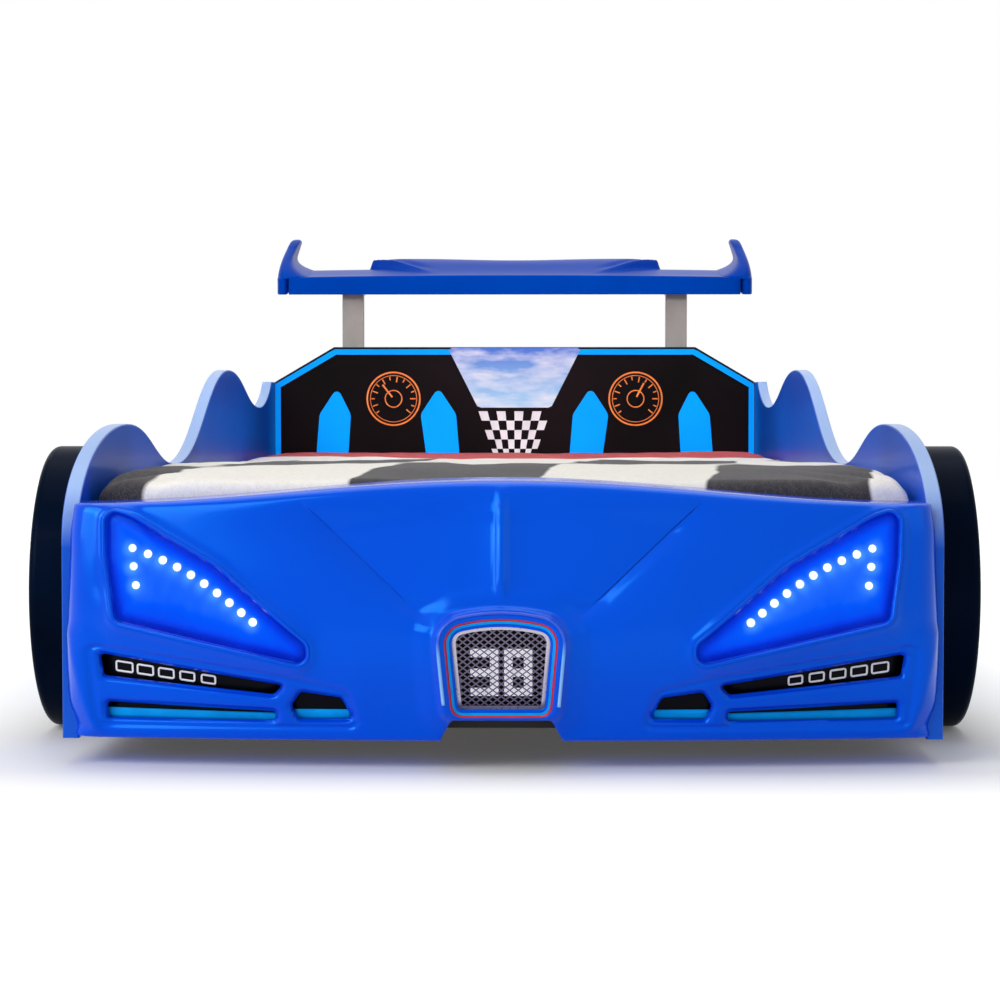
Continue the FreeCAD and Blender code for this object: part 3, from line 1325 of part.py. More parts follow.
def make_box():
    """The control box on the footboard's face: a pad hollowed out, with a lid plate."""
    body = doc.addObject("PartDesign::Body", "control_box")
    corners = [("-box_out - box_wide / 2", "box_low"), ("-box_out + box_wide / 2", "box_low"),
               ("-box_out + box_wide / 2", "box_low + box_tall"),
               ("-box_out - box_wide / 2", "box_low + box_tall")]
    outline = sketched(body, "box_outline", "XZ_Plane", corners)
    padded(body, outline, "box_deep", "box_pad")
    doc.recompute()
    room = [("-box_out - box_wide / 2 + box_wall", "box_low + box_wall"),
            ("-box_out + box_wide / 2 - box_wall", "box_low + box_wall"),
            ("-box_out + box_wide / 2 - box_wall", "box_low + box_tall - box_wall"),
            ("-box_out - box_wide / 2 + box_wall", "box_low + box_tall - box_wall")]
    inside = sketched(body, "box_room", "XZ_Plane", room)
    hollow = body.newObject("PartDesign::Pocket", "box_hollow")
    hollow.Profile = inside
    hollow.Reversed = True
    bind(hollow, "Length", "box_deep - box_wall")
    doc.recompute()
    if body.Shape.Volume > 0.6 * v.box_wide * v.box_deep * v.box_tall:
        raise RuntimeError("the control box isn't hollow")
    bind(body, "Placement.Base.y", "front + footboard_at")
    keep(body)


def lead_hole_x():
    """Where the switch's lead passes the footboard, beside the left slat rail."""
    return -v.half + v.rail_wide + 45


def lead_path(points):
    """Straight runs joined by tangent arcs, up to the leads' usual bend."""
    arcs = []
    for before, here, after in zip(points, points[1:], points[2:]):
        back, ahead = before - here, after - here
        turn = math.pi - back.getAngle(ahead)
        reach = min(0.45 * min(back.Length, ahead.Length), v.lead_bend)
        radius = reach / math.tan(turn / 2)
        back.normalize()
        ahead.normalize()
        middle = (back + ahead).normalize()
        inward = radius / math.cos(turn / 2) - radius
        arcs.append((here + back * reach, here + middle * inward, here + ahead * reach, radius))
    edges = []
    spot = points[0]
    for start, middle, end, radius in arcs:
        edges.append(Part.makeLine(spot, start))
        edges.append(Part.Arc(start, middle, end).toShape())
        spot = end
    edges.append(Part.makeLine(spot, points[-1]))
    return Part.Wire(edges), [arc[3] for arc in arcs]


def make_lead(name, points):
    """A round lead along its route, checked against its section times its length."""
    wire, radii = lead_path(points)
    first = (points[1] - points[0]).normalize()
    ring = Part.Wire(Part.makeCircle(v.lead_radius, points[0], first))
    lead = wire.makePipeShell([ring], True, False)
    expected = math.pi * v.lead_radius ** 2 * wire.Length
    print(f"{name}: {wire.Length:.0f} long, radii {[round(r) for r in radii]}, "
          f"volume {lead.Volume / expected:.3f} of its section times its length")
    keep(feature(name, lead))


def make_leads():
    """Leads from the inlet to the switch, on to the control box and out to the two lamps."""
    y = v.footboard_at - v.lead_back
    high = v.box_low + 24
    left, right = -v.box_out - v.box_wide / 2, -v.box_out + v.box_wide / 2
    gland = lamp_gland()
    make_lead("lead_lamp_left", [Vector(left, y, high), Vector(left - 40, y, high),
                                 Vector(gland.x, y, gland.z), gland])
    make_lead("lead_lamp_right", [Vector(right, y, high), Vector(-gland.x - 60, y, high),
                                  Vector(-gland.x, y, gland.z), Vector(-gland.x, gland.y, gland.z)])
    inside = -v.half + 14
    hole = lead_hole_x()
    up = v.works_high + 4
    make_lead("lead_switch", [Vector(inside, v.switch_at + 3, up), Vector(hole, v.switch_at + 3, up),
                              Vector(hole, y, up), Vector(-v.box_out - 20, y, up),
                              Vector(-v.box_out - 20, y, v.box_low)])
    down = v.works_high - 4
    inlet_end = -v.outer + v.board + 6
    make_lead("lead_inlet", [Vector(inlet_end, v.inlet_at, v.works_high),
                             Vector(inlet_end + 24, v.inlet_at, v.works_high),
                             Vector(inlet_end + 24, v.switch_at - 3, down),
                             Vector(inside, v.switch_at - 3, down)])
    make_clips(y, high, up)


def make_clips(y, high, up):
    """Plastic clips that hold the leads to the footboard's face."""
    spots = [Vector(-v.half * 0.6, y, up)]
    spots += [Vector(x, y, high) for x in (-60, 60, 180)]
    clips = []
    for spot in spots:
        body = Part.makeBox(v.clip_long, 5 + v.lead_back, v.clip_wide)
        body.translate(spot - Vector(v.clip_long / 2, 5, v.clip_wide / 2))
        bore = turned([(0, -v.clip_long), (v.lead_radius + v.clip_gap, -v.clip_long),
                       (v.lead_radius + v.clip_gap, v.clip_long), (0, v.clip_long)], OUT["x"], spot)
        clips.append(body.cut(bore))
    keep(feature("lead_clips", Part.makeCompound(clips)))


# ---------------------------------------------------------------- build, check and write

def check_document():
    """Stop if any object failed, or a piece has no sound solid."""
    doc.recompute()
    for item in doc.Objects:
        if "Invalid" in item.State or "Error" in item.State:
            raise RuntimeError(f"{item.Label} failed: {item.State}")
    for piece in NODES:
        shape = piece.Shape
        if shape.isNull() or not shape.isValid() or not shape.Solids:
            raise RuntimeError(f"{piece.Label} has no sound solid")


def write_parts():
    os.makedirs("parts", exist_ok=True)
    for piece in NODES:
        piece.Shape.exportStep(f"parts/{piece.Label}.step")
    whole = Part.makeCompound([piece.Shape for piece in NODES]).BoundBox
    print(f"{len(NODES)} pieces, {whole.XLength:.1f} x {whole.YLength:.1f} x {whole.ZLength:.1f}, "
          f"from {whole.XMin:.1f} {whole.YMin:.1f} {whole.ZMin:.1f}")


make_side_boards()
make_headboard()
make_footboard()
make_rails()
make_beam()
make_slats()
make_glides()
make_mattress()
make_cover()
make_bumper()
make_lamps()
make_vents()
make_grille()
make_wheels()
make_wing()
make_fins()
make_posts()
make_wing_screws()
make_board_fasteners()
make_switch()
make_inlet()
make_box()
make_leads()
check_document()
write_parts()
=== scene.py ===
# %% [markdown]
# # A racing-car bed, dressed for its photograph
# The measured model of the bed comes in first and never moves: boards, slats, bolts, lamps and posts all
# lie where they were built. Every cell below adds a finish to one of those pieces, or lays a finer
# surface over it. Lengths are in metres, +Z is up, and the front of the car looks along -Y.

# %% The measured model
import math

import bmesh
import bpy
import numpy as np
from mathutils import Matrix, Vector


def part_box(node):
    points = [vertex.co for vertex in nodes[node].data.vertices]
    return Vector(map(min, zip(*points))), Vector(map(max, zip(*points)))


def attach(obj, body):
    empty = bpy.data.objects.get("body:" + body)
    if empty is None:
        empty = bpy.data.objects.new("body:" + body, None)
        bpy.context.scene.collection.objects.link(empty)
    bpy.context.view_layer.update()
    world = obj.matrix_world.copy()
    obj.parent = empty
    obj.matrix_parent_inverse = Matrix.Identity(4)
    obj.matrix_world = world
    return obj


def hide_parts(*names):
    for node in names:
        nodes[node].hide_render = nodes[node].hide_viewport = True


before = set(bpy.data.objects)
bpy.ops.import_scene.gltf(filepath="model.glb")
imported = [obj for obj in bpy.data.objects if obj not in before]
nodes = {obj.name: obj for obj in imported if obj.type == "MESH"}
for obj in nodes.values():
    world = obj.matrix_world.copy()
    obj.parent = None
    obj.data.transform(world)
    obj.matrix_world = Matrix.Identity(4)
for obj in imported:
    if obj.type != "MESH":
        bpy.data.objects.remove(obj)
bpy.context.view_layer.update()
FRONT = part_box("side_panel_left")[0][1]
print("nodes:", len(nodes), "front edge of the side boards at y =", round(FRONT, 4))

# %% [markdown]
# ## The camera
# The photograph was taken from a little left of the bed's middle line, low down, with a long lens: the
# two boards shrink only slowly towards the headboard. Writing the lens in pixels and giving it a small
# turn and tilt puts every edge where the photograph has it.

# %% The camera
LENS_PIXELS, PHOTO_WIDE, SENSOR_WIDE = 2480, 1000, 36
eye = (0.031, FRONT - 2.68, 0.39)
turn = math.atan(30.6 / LENS_PIXELS)
tilt = math.atan(95 / LENS_PIXELS)
camera_data = bpy.data.cameras.new("camera")
camera_data.sensor_width = SENSOR_WIDE
camera_data.lens = SENSOR_WIDE * LENS_PIXELS / PHOTO_WIDE
camera = bpy.data.objects.new("camera", camera_data)
bpy.context.collection.objects.link(camera)
camera.location = eye
camera.rotation_euler = (math.pi / 2 - tilt, 0, turn)
bpy.context.scene.camera = camera
bpy.context.scene.view_settings.view_transform = "Standard"
print("lens:", round(camera_data.lens, 1), "mm")

# %% [markdown]
# ## Shader sums written as sums
# A finish is mostly arithmetic on positions: how far from an edge, which square of a checker. One small
# class holds a socket, so that `a * 2 + b` adds the right Math nodes by itself. Every other kind of node
# comes from its one method `node`.

# %% Shader sums
class Socket:
    """A value in a material's node tree. Adding, multiplying and comparing it adds Math nodes."""

    def __init__(self, tree, link):
        self.tree = tree
        self.link = link

    def math(self, operation, other=0.0):
        return self.node("ShaderNodeMath", {"operation": operation}, {0: self, 1: other})

    def clamp(self):
        """The value kept between 0 and 1."""
        return self.math("MINIMUM", 1.0).math("MAXIMUM", 0.0)

    def smooth(self, start, end):
        """0 at the start, 1 at the end, with soft shoulders."""
        soft_step = {"interpolation_type": "SMOOTHSTEP"}
        return self.node("ShaderNodeMapRange", soft_step, {0: self, 1: start, 2: end})

    def node(self, kind, settings=None, values=None, out=0):
        """Add any node: its settings first, then the values or links of its sockets."""
        made = self.tree.nodes.new(kind)
        for name, value in (settings or {}).items():
            if name == "stops":
                while len(made.color_ramp.elements) < len(value):
                    made.color_ramp.elements.new(0.5)
                for stop, (place, colour) in zip(made.color_ramp.elements, value):
                    stop.position = place
                    stop.color = colour
            else:
                setattr(made, name, value)
        for name, value in (values or {}).items():
            if isinstance(value, Socket):
                self.tree.links.new(value.link, made.inputs[name])
            else:
                made.inputs[name].default_value = value
        return Socket(self.tree, made.outputs[out])

    def __add__(self, other):
        return self.math("ADD", other)

    def __sub__(self, other):
        return self.math("SUBTRACT", other)

    def __rsub__(self, other):
        return self.node("ShaderNodeMath", {"operation": "SUBTRACT"}, {0: other, 1: self})

    def __mul__(self, other):
        return self.math("MULTIPLY", other)

    def __truediv__(self, other):
        return self.math("DIVIDE", other)

    def __lt__(self, other):
        return self.math("LESS_THAN", other)


def paint(red, green, blue):
    """A colour as a screen shows it, 0 to 255, turned into the light that it stands for."""
    share = np.array([red, green, blue]) / 255
    light = np.where(share <= 0.04045, share / 12.92, ((share + 0.055) / 1.055) ** 2.4)
    return (*light.tolist(), 1.0)


class Finish:
    """A new material with its shader, its surface coordinates and short ways to wire them."""

    def __init__(self, name, colour, rough=0.5, **fixed):
        self.material = bpy.data.materials.new(name)
        self.material.use_nodes = True
        self.tree = self.material.node_tree
        self.shader = self.tree.nodes["Principled BSDF"]
        self.put("Base Color", colour)
        self.put("Roughness", rough)
        for socket, value in fixed.items():
            self.put(socket.replace("_", " "), value)
        coordinates = self.tree.nodes.new("ShaderNodeTexCoord")
        self.place = Socket(self.tree, coordinates.outputs["Object"])

    def put(self, socket, value):
        if isinstance(value, Socket):
            self.tree.links.new(value.link, self.shader.inputs[socket])
        else:
            self.shader.inputs[socket].default_value = value
        return self

    def axes(self, letters):
        """The asked numbers of a position, such as "xz", each as a value."""
        parts = self.place.node("ShaderNodeSeparateXYZ", {}, {0: self.place})
        return [Socket(self.tree, parts.link.node.outputs["xyz".index(letter)]) for letter in letters]

    def noise(self, scale, detail=3.0, stretch=(1, 1, 1)):
        """Smooth random values near 0.5 with features of about 1 / scale metres."""
        moved = self.place.node("ShaderNodeMapping", {}, {"Vector": self.place, "Scale": stretch})
        return self.place.node("ShaderNodeTexNoise", {}, {"Vector": moved, "Scale": scale, "Detail": detail})

    def attribute(self, name):
        node = self.tree.nodes.new("ShaderNodeAttribute")
        node.attribute_name = name
        return Socket(self.tree, node.outputs["Fac"])

    def ramp(self, value, *stops):
        """A colour for each value: stops are (place, colour)."""
        return value.node("ShaderNodeValToRGB", {"stops": stops}, {0: value})

    def blend(self, share, first, second):
        """The first colour where the share is 0, the second where it is 1."""
        mix = {"data_type": "RGBA"}
        return self.place.node("ShaderNodeMix", mix, {0: share, 6: first, 7: second}, out=2)

    def bump(self, height, depth, strength=1.0, under=None):
        """Tilt the normal by a height; under is another bump's normal, which this one starts from."""
        values = {"Height": height, "Distance": depth, "Strength": strength}
        if under:
            values["Normal"] = under
        normal = self.place.node("ShaderNodeBump", {}, values)
        return self.put("Normal", normal)


def worn(name, rough, colour, darker, scale, **fixed):
    """A finish whose painted colour changes slightly and cloudily, as hands and cloths leave it."""
    finish = Finish(name, paint(*colour), rough, **fixed)
    cloud = finish.noise(scale, 4.0)
    return finish.put("Base Color", finish.ramp(cloud, (0.35, paint(*darker)), (0.65, paint(*colour))))


print("shader helpers ready")

# %% [markdown]
# ## The finishes
# The plastic front, the wing and the boards share one strong blue, but not one gloss: formed plastic is
# smooth with a slow ripple from its mould, painted board has the fine orange peel of a roller. The
# tyres are formed from a blue-black sheet with a low gloss. The hood's two creases are folds of the
# surface, and a fine step in the plastic's bump makes their line sharp.

# %% Blue plastic and blue board
BLUE_GLOSS = paint(30, 168, 255)
CREASE_X, CREASE_Z, CREASE_LEAN, CREASE_WIDE = 0.2166, 0.2896, 1.076, 0.0032
plastic = worn("front blue plastic", 0.16, (0, 72, 226), (0, 65, 217), 3.0, Coat_Weight=0.05,
               Coat_Roughness=0.04, IOR=1.8, Specular_Tint=BLUE_GLOSS)
hood_x, hood_z = plastic.axes("xz")
past_crease = (hood_z - CREASE_Z) * CREASE_LEAN + CREASE_X - hood_x.math("ABSOLUTE")
step = (past_crease / CREASE_WIDE + 0.5).smooth(0, 1)
step = step * hood_z.smooth(0.170, 0.190) * hood_z.smooth(0.289, 0.276)
ripple = {"Height": plastic.noise(14.0, 2.0), "Distance": 0.0012, "Strength": 0.25}
plastic.bump(step, 0.0022, 1.0, plastic.place.node("ShaderNodeBump", {}, ripple))

board = Finish("blue board paint", paint(4, 84, 205), 0.34, Coat_Weight=0.1, Coat_Roughness=0.12, IOR=1.2)
board_x, board_z = board.axes("xz")
inner_face = abs(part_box("side_panel_left")[1][0])
outer_face = abs(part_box("side_panel_left")[0][0])
off_middle = (board_x.math("ABSOLUTE") - (inner_face + outer_face) / 2).math("ABSOLUTE")
# Painted highlight: the boards' edge faces turn lighter from 235 mm up and are full light blue from 300 mm,
# in place of the sky's reflection on them.
rim = ((off_middle * -1 + (outer_face - inner_face) / 2 - 0.0003) * 900).clamp()
high = ((board_z - 0.235) / 0.065).clamp()
tone = board.ramp(board.noise(2.5, 3.0), (0.35, paint(3, 76, 194)), (0.65, paint(5, 90, 212)))
board.put("Base Color", board.blend(rim * high, tone, paint(158, 188, 240)))
board.bump(board.noise(420.0, 2.0), 0.0003, 0.35)

wing_paint = worn("wing blue plastic", 0.3, (0, 66, 178), (0, 60, 168), 4.0, IOR=1.12,
                  Specular_Tint=BLUE_GLOSS)
wing_paint.bump(wing_paint.noise(30.0, 2.0), 0.0006, 0.25)

# %% Tyres, rims and metal
tyre = worn("blue-black tyre sheet", 0.3, (2, 16, 37), (1, 11, 28), 7.0, Coat_Weight=0.01,
            Coat_Roughness=0.1, IOR=1.06)
tyre.bump(tyre.noise(60.0, 3.0), 0.0006, 0.3)

rim_silver = Finish("rim silver", paint(188, 190, 196), 0.34, Metallic=0.75)
flakes = rim_silver.noise(900.0, 1.0)
rim_silver.put("Roughness", flakes * 0.16 + 0.26)
rim_silver.bump(flakes, 0.0002, 0.3)

post_metal = worn("post grey powder coat", 0.5, (148, 143, 139), (136, 131, 127), 12.0, Metallic=0.2)
post_metal.bump(post_metal.noise(700.0, 2.0), 0.0003, 0.4)

zinc = Finish("zinc-plated steel", paint(186, 188, 192), 0.35, Metallic=1.0)
zinc.put("Roughness", zinc.noise(240.0, 3.0, (1, 1, 6)) * 0.3 + 0.2)

# %% Black, white and cyan plastic
black_plastic = Finish("black grained plastic", paint(18, 18, 21), 0.5)
grain = black_plastic.noise(900.0, 3.0)
black_plastic.put("Roughness", grain * 0.25 + 0.4)
black_plastic.bump(grain, 0.0002, 0.5)

vent_black = Finish("vent black", paint(6, 6, 14), 0.3, IOR=1.15)
vent_black.put("Roughness", vent_black.noise(60.0, 3.0) * 0.25 + 0.2)

cyan = worn("cyan strip", 0.3, (1, 164, 250), (1, 152, 238), 40.0, IOR=1.15)
white = worn("white plastic", 0.35, (242, 242, 246), (230, 230, 236), 50.0)
self_lit_number_white = worn("number white", 0.4, (244, 244, 248), (226, 226, 232), 80.0)
# Painted light: the white number glows a little, though it is no lamp, to lift it out of the shade of its
# tray.
self_lit_number_white.put("Emission Color", self_lit_number_white.ramp(self_lit_number_white.noise(80.0), (0.3, paint(205, 205, 212)),
                                                     (0.7, paint(225, 225, 232))))
self_lit_number_white.put("Emission Strength", 0.7)

# Painted highlight: the grille lip is light blue at its foot and turns to the plastic's blue higher up.
lip_painted_highlight = Finish("lip painted highlight blue", paint(120, 188, 252), 0.12, Coat_Weight=0.2, Coat_Roughness=0.03)
lip_painted_highlight.put("Base Color", lip_painted_highlight.ramp(lip_painted_highlight.axes("z")[0] * 10 - 0.7, (0.0, paint(150, 205, 255)),
                                           (0.55, paint(110, 180, 252)), (0.72, paint(0, 84, 230)),
                                           (1.0, paint(0, 72, 218))))

ring_red = worn("ring red", 0.35, (212, 26, 56), (190, 20, 46), 60.0)
switch_red = worn("switch red", 0.35, (198, 26, 22), (176, 18, 16), 300.0)
frame_silver = Finish("grille silver", paint(204, 198, 214), 0.28, Metallic=0.7)
frame_silver.put("Roughness", frame_silver.noise(300.0, 2.0) * 0.2 + 0.2)

mesh_wire = Finish("mesh wire", paint(112, 104, 126), 0.35, Metallic=0.5)
mesh_wire.put("Roughness", mesh_wire.noise(500.0, 2.0) * 0.3 + 0.2)

# %% Wood, webbing and ticking
planed = Finish("planed softwood", paint(205, 172, 122), 0.6)
rings = planed.noise(26.0, 6.0, (0.35, 1, 6))
across = planed.noise(3.0, 2.0)
planed.put("Base Color", planed.ramp(rings * 0.8 + across * 0.2, (0.35, paint(178, 138, 88)),
                                     (0.5, paint(208, 174, 122)), (0.68, paint(222, 192, 146))))
planed.bump(rings, 0.0004, 0.3)

# Black paint; on the footboard it is also painted shade: through the arch under the grille it shows as the
# dark beneath the bed.
black_board = worn("black board paint", 0.5, (19, 19, 22), (13, 13, 16), 6.0)
black_board.bump(black_board.noise(420.0, 2.0), 0.0003, 0.3)

webbing = Finish("webbing", paint(222, 218, 206), 0.85)
ribs = (webbing.axes("y")[0] * 2200.0).math("SINE") * 0.5 + 0.5
# Painted shade: the webbing is darker in the grooves between its ribs and lighter on their crests, following
# its bump.
webbing.put("Base Color", webbing.ramp(ribs, (0.0, paint(200, 196, 184)), (1.0, paint(232, 228, 218))))
webbing.bump(ribs, 0.0003, 0.6)

# %% [markdown]
# ## Dressing the measured pieces
# Boards, slats, bolts, posts and trays already have their true shape, so they only get a finish. The
# finish goes into each object's material slot and the mesh stays as it is.

# %% Finishes for the measured pieces
DRESS = (
    (board, "side_panel_left side_panel_right"),
    # The footboard's black stands in for the shade under the bed, seen through the arch below the grille.
    (black_board, "footboard_panel wheel_discs"),
    (planed, "slat_rail_left slat_rail_right centre_beam beam_legs slats"),
    (webbing, "slat_tapes"),
    (zinc, "panel_bolts rail_screws bumper_screws wheel_screws rim_bolts post_screws switch_pin post_plates"),
    (post_metal, "spoiler_post_left spoiler_post_right"),
    (black_plastic, "panel_glides control_box switch_housing power_inlet"),
    (black_plastic, "lead_lamp_left lead_lamp_right lead_switch lead_inlet"),
    (white, "lead_clips"), (self_lit_number_white, "race_number"),
    (vent_black, "vent_tray_left vent_tray_right grille_tray headlight_housing_left headlight_housing_right"),
    (cyan, "vent_stripes"), (frame_silver, "grille_frame"), (mesh_wire, "grille_mesh"),
    (switch_red, "rocker_switch"), (plastic, "bumper_shell hub_caps"),
    (rim_silver, "rim_front_left rim_front_right rim_rear_left rim_rear_right"),
    (tyre, "tyre_front_left tyre_front_right tyre_rear_left tyre_rear_right"),
    (wing_paint, "spoiler_wing spoiler_fin_left spoiler_fin_right"),
)
for finish, names in DRESS:
    for name in names.split():
        nodes[name].data.materials.clear()
        nodes[name].data.materials.append(finish.material)
print("dressed", sum(len(names.split()) for finish, names in DRESS), "pieces")

# %% [markdown]
# ## Surfaces from arrays
# A new piece is a grid of points: rows along one way, columns along the other. The grid is worked out as
# one numpy array, and the faces between its points are counted out the same way.

# %% Surfaces from arrays
def new_piece(name, points, faces, finish, slot=None, smooth=True, body="bed", facing=None, repair=False):
    """Make a mesh object from points and one or more arrays of faces, and let it ride on a body.

    A sheet is turned over where needed, so that most of it looks the way that facing points. A closed
    shape that asks for repair has its faces turned outwards."""
    points = np.asarray(points, float).reshape(-1, 3)
    blocks = [np.asarray(block) for block in (faces if isinstance(faces, list) else [faces])]
    if facing is not None:
        way = np.zeros(3)
        for block in blocks:
            corner = points[block[:, 0]]
            way += np.cross(points[block[:, 1]] - corner, points[block[:, 2]] - corner).sum(axis=0)
        if way @ np.asarray(facing) < 0:
            blocks = [block[:, ::-1] for block in blocks]
    mesh = bpy.data.meshes.new(name)
    mesh.from_pydata(points.tolist(), [], [face for block in blocks for face in block.tolist()])
    mesh.polygons.foreach_set("use_smooth", np.full(len(mesh.polygons), smooth))
    mesh.update()
    if repair:
        shape = bmesh.new()
        shape.from_mesh(mesh)
        bmesh.ops.remove_doubles(shape, verts=shape.verts, dist=1e-6)
        bmesh.ops.recalc_face_normals(shape, faces=shape.faces)
        shape.to_mesh(mesh)
        shape.free()
    mesh.materials.append(finish.material)
    piece = bpy.data.objects.new(name, mesh)
    bpy.context.collection.objects.link(piece)
    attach(piece, body)
    return piece


def grid_faces(rows, columns, closed=False):
    """Four corners of every cell of a grid of points; closed joins each row's end to its start."""
    index = np.arange(rows * columns).reshape(rows, columns)
    if closed:
        index = np.hstack([index, index[:, :1]])
    corners = (index[:-1, :-1], index[1:, :-1], index[1:, 1:], index[:-1, 1:])
    return np.stack([corner.ravel() for corner in corners], axis=1)


def xyz(x, y, z):
    """Points from three arrays, or numbers, that are stretched to one shape."""
    return np.stack(np.broadcast_arrays(x, y, z), axis=-1)


def tube(points):
    """Rings of points, row by row, closed at each end by a fan to the middle of the end ring."""
    rows, columns = points.shape[:2]
    ring = np.arange(columns)
    faces = [grid_faces(rows, columns, True)]
    for end, first in enumerate((0, (rows - 1) * columns)):
        tip = np.full(columns, rows * columns + end)
        faces.append(np.stack([ring + first, np.roll(ring, -1) + first, tip], axis=1))
    return np.vstack([points.reshape(-1, 3), points[[0, -1]].mean(axis=1)]), faces


def walled(piece, thickness):
    """Give a sheet its thickness, all of it behind the side that is seen."""
    wall = piece.modifiers.new("wall", "SOLIDIFY")
    wall.thickness = thickness
    wall.offset = -1
    return piece


def front_sheet(name, shape, finish, slot, thickness, **more):
    """A sheet that looks ahead and has its thickness behind it."""
    return walled(new_piece(name, *shape, finish, slot, facing=(0, -1, 0), **more), thickness)


def colour_points(piece, name, values):
    """Store one number for each point, for a material to read by name."""
    layer = piece.data.attributes.new(name, "FLOAT", "POINT")
    layer.data.foreach_set("value", np.asarray(values, np.float32).ravel())


def rounded(corners, step=0.0015):
    """A closed outline from (x, z, radius) corners: straight runs and tangent arcs, as many points."""
    points = []
    for index, (x, z, radius) in enumerate(corners):
        here = np.array([x, z])
        back = np.array(corners[index - 1][:2]) - here
        ahead = np.array(corners[(index + 1) % len(corners)][:2]) - here
        back, ahead = back / np.hypot(*back), ahead / np.hypot(*ahead)
        half = math.acos(float(np.clip(back @ ahead, -1, 1))) / 2
        middle = (back + ahead) / np.hypot(*(back + ahead))
        centre = here + middle * radius / math.sin(half)
        start, end = here + back * radius / math.tan(half), here + ahead * radius / math.tan(half)
        count = max(int(radius * (math.pi - 2 * half) / step), 2)
        share = np.linspace(0, 1, count + 1)[:, None]
        first, last = start - centre, end - centre
        spread = math.pi - 2 * half
        arc = (np.sin((1 - share) * spread) * first + np.sin(share * spread) * last) / math.sin(spread)
        points.append(centre + arc)
    return spaced(np.vstack(points), step * 2)


def spaced(loop, step):
    """The same closed outline with its points an equal step apart."""
    closed = np.vstack([loop, loop[:1]])
    along = np.r_[0, np.cumsum(np.hypot(*np.diff(closed, axis=0).T))]
    where = np.linspace(0, along[-1], int(along[-1] / step) + 1)[:-1]
    return np.stack([np.interp(where, along, closed[:, axis]) for axis in (0, 1)], axis=1)


def outward(loop):
    """Unit vectors that point out of a closed outline, one for each of its points."""
    along = np.roll(loop, -1, axis=0) - np.roll(loop, 1, axis=0)
    along /= np.hypot(*along.T)[:, None]
    area = np.sum(loop[:, 0] * np.roll(loop[:, 1], -1) - loop[:, 1] * np.roll(loop[:, 0], -1))
    return np.stack([along[:, 1], -along[:, 0]], axis=1) * np.sign(area)


def edge_distance(loop, x, z):
    """Distance from points to a closed outline, below zero inside it, and the nearest spot on it."""
    x, z = np.broadcast_arrays(np.asarray(x, float), np.asarray(z, float))
    near = np.full(x.shape, 9.0)
    spot = np.zeros(x.shape + (2,))
    crossed = np.zeros(x.shape, bool)
    for (ax, az), (bx, bz) in zip(loop, np.roll(loop, -1, axis=0)):
        run_x, run_z = bx - ax, bz - az
        share = np.clip(((x - ax) * run_x + (z - az) * run_z) / (run_x ** 2 + run_z ** 2), 0, 1)
        foot_x, foot_z = ax + share * run_x, az + share * run_z
        gap = np.hypot(x - foot_x, z - foot_z)
        closer = gap < near
        near = np.where(closer, gap, near)
        spot[closer] = np.stack([foot_x, foot_z], axis=-1)[closer]
        if run_z != 0:
            crossed ^= ((az > z) != (bz > z)) & (x < ax + run_x * (z - az) / run_z)
    return np.where(crossed, -near, near), spot


def fade(value, start, end):
    """0 at the start, 1 at the end, with soft shoulders: 3t squared minus 2t cubed."""
    t = np.clip((value - start) / (end - start), 0, 1)
    return t * t * (3 - 2 * t)


print("surface helpers ready")

# %% [markdown]
# ## The plastic front: its large form
# On the real bed this is one sheet of plastic, softened by heat and drawn over a mould. Its large form is
# a smooth spline surface over a net of guiding points: each column of the net is the front seen from the
# side, from the lip under it, over the nose and the rolled edge, to the deck behind. Following the
# measured net keeps the new skin exactly on the trays and lamps behind it.

# %% The net of guiding points
HALF, END_ROUND, LOW, BACK, NOSE_HIGH = 0.4635, 0.024, 0.030, 0.068, 0.150


def hood_height(x):
    """Height of the hood's edge: a raised cosine from 284 mm at its ends to 310.5 mm in its middle."""
    return 0.284 + 0.0265 * (1 + np.cos(np.pi * np.minimum(np.abs(x) / HALF, 1))) / 2


def stations():
    inner = np.linspace(0, HALF - END_ROUND * 2, 9)
    outer = HALF - END_ROUND * np.array([1.4, 1, 0.66, 0.36, 0.14, 0])
    half = np.r_[inner, outer]
    return np.r_[-half[:0:-1], half]


def front_net():
    """Guiding points as (station, point, xyz): how far foot, nose and brow reach ahead, by station."""
    x = stations()
    bow = 1 - (x / HALF) ** 2
    past = np.clip((np.abs(x) - (HALF - END_ROUND)) / END_ROUND, 0, 1)
    share = np.maximum(np.sqrt(1 - past ** 2), 0.15)
    foot = share * (0.012 + 0.033 * bow)
    nose = share * (0.022 + 0.0571 * bow)
    brow = share * (0.014 + 0.036 * bow)
    roll = 0.010 + 0.012 * bow
    top, low, back, level = hood_height(x), LOW + 0 * x, BACK + 0 * x, NOSE_HIGH + 0 * x
    pairs = [(back, low), (back * 0.7, low), (back * 0.4, low), (0.012 - foot, low), (0.002 - foot, low),
             (-foot, low + 0.012), (-(0.6 * foot + 0.4 * nose), low + 0.05), (-nose, level - 0.028),
             (-nose, level + 0.028), (-(0.4 * nose + 0.6 * brow), top - roll - 0.036), (-brow, top - roll),
             (0.25 * roll - brow, top - 0.2 * roll), (0.8 * roll - brow, top), (1.6 * roll - brow, top),
             (back * 0.5, top), (back * 0.75, top), (back, top)]
    return np.stack([xyz(x, y + FRONT, z) for y, z in pairs], axis=1)


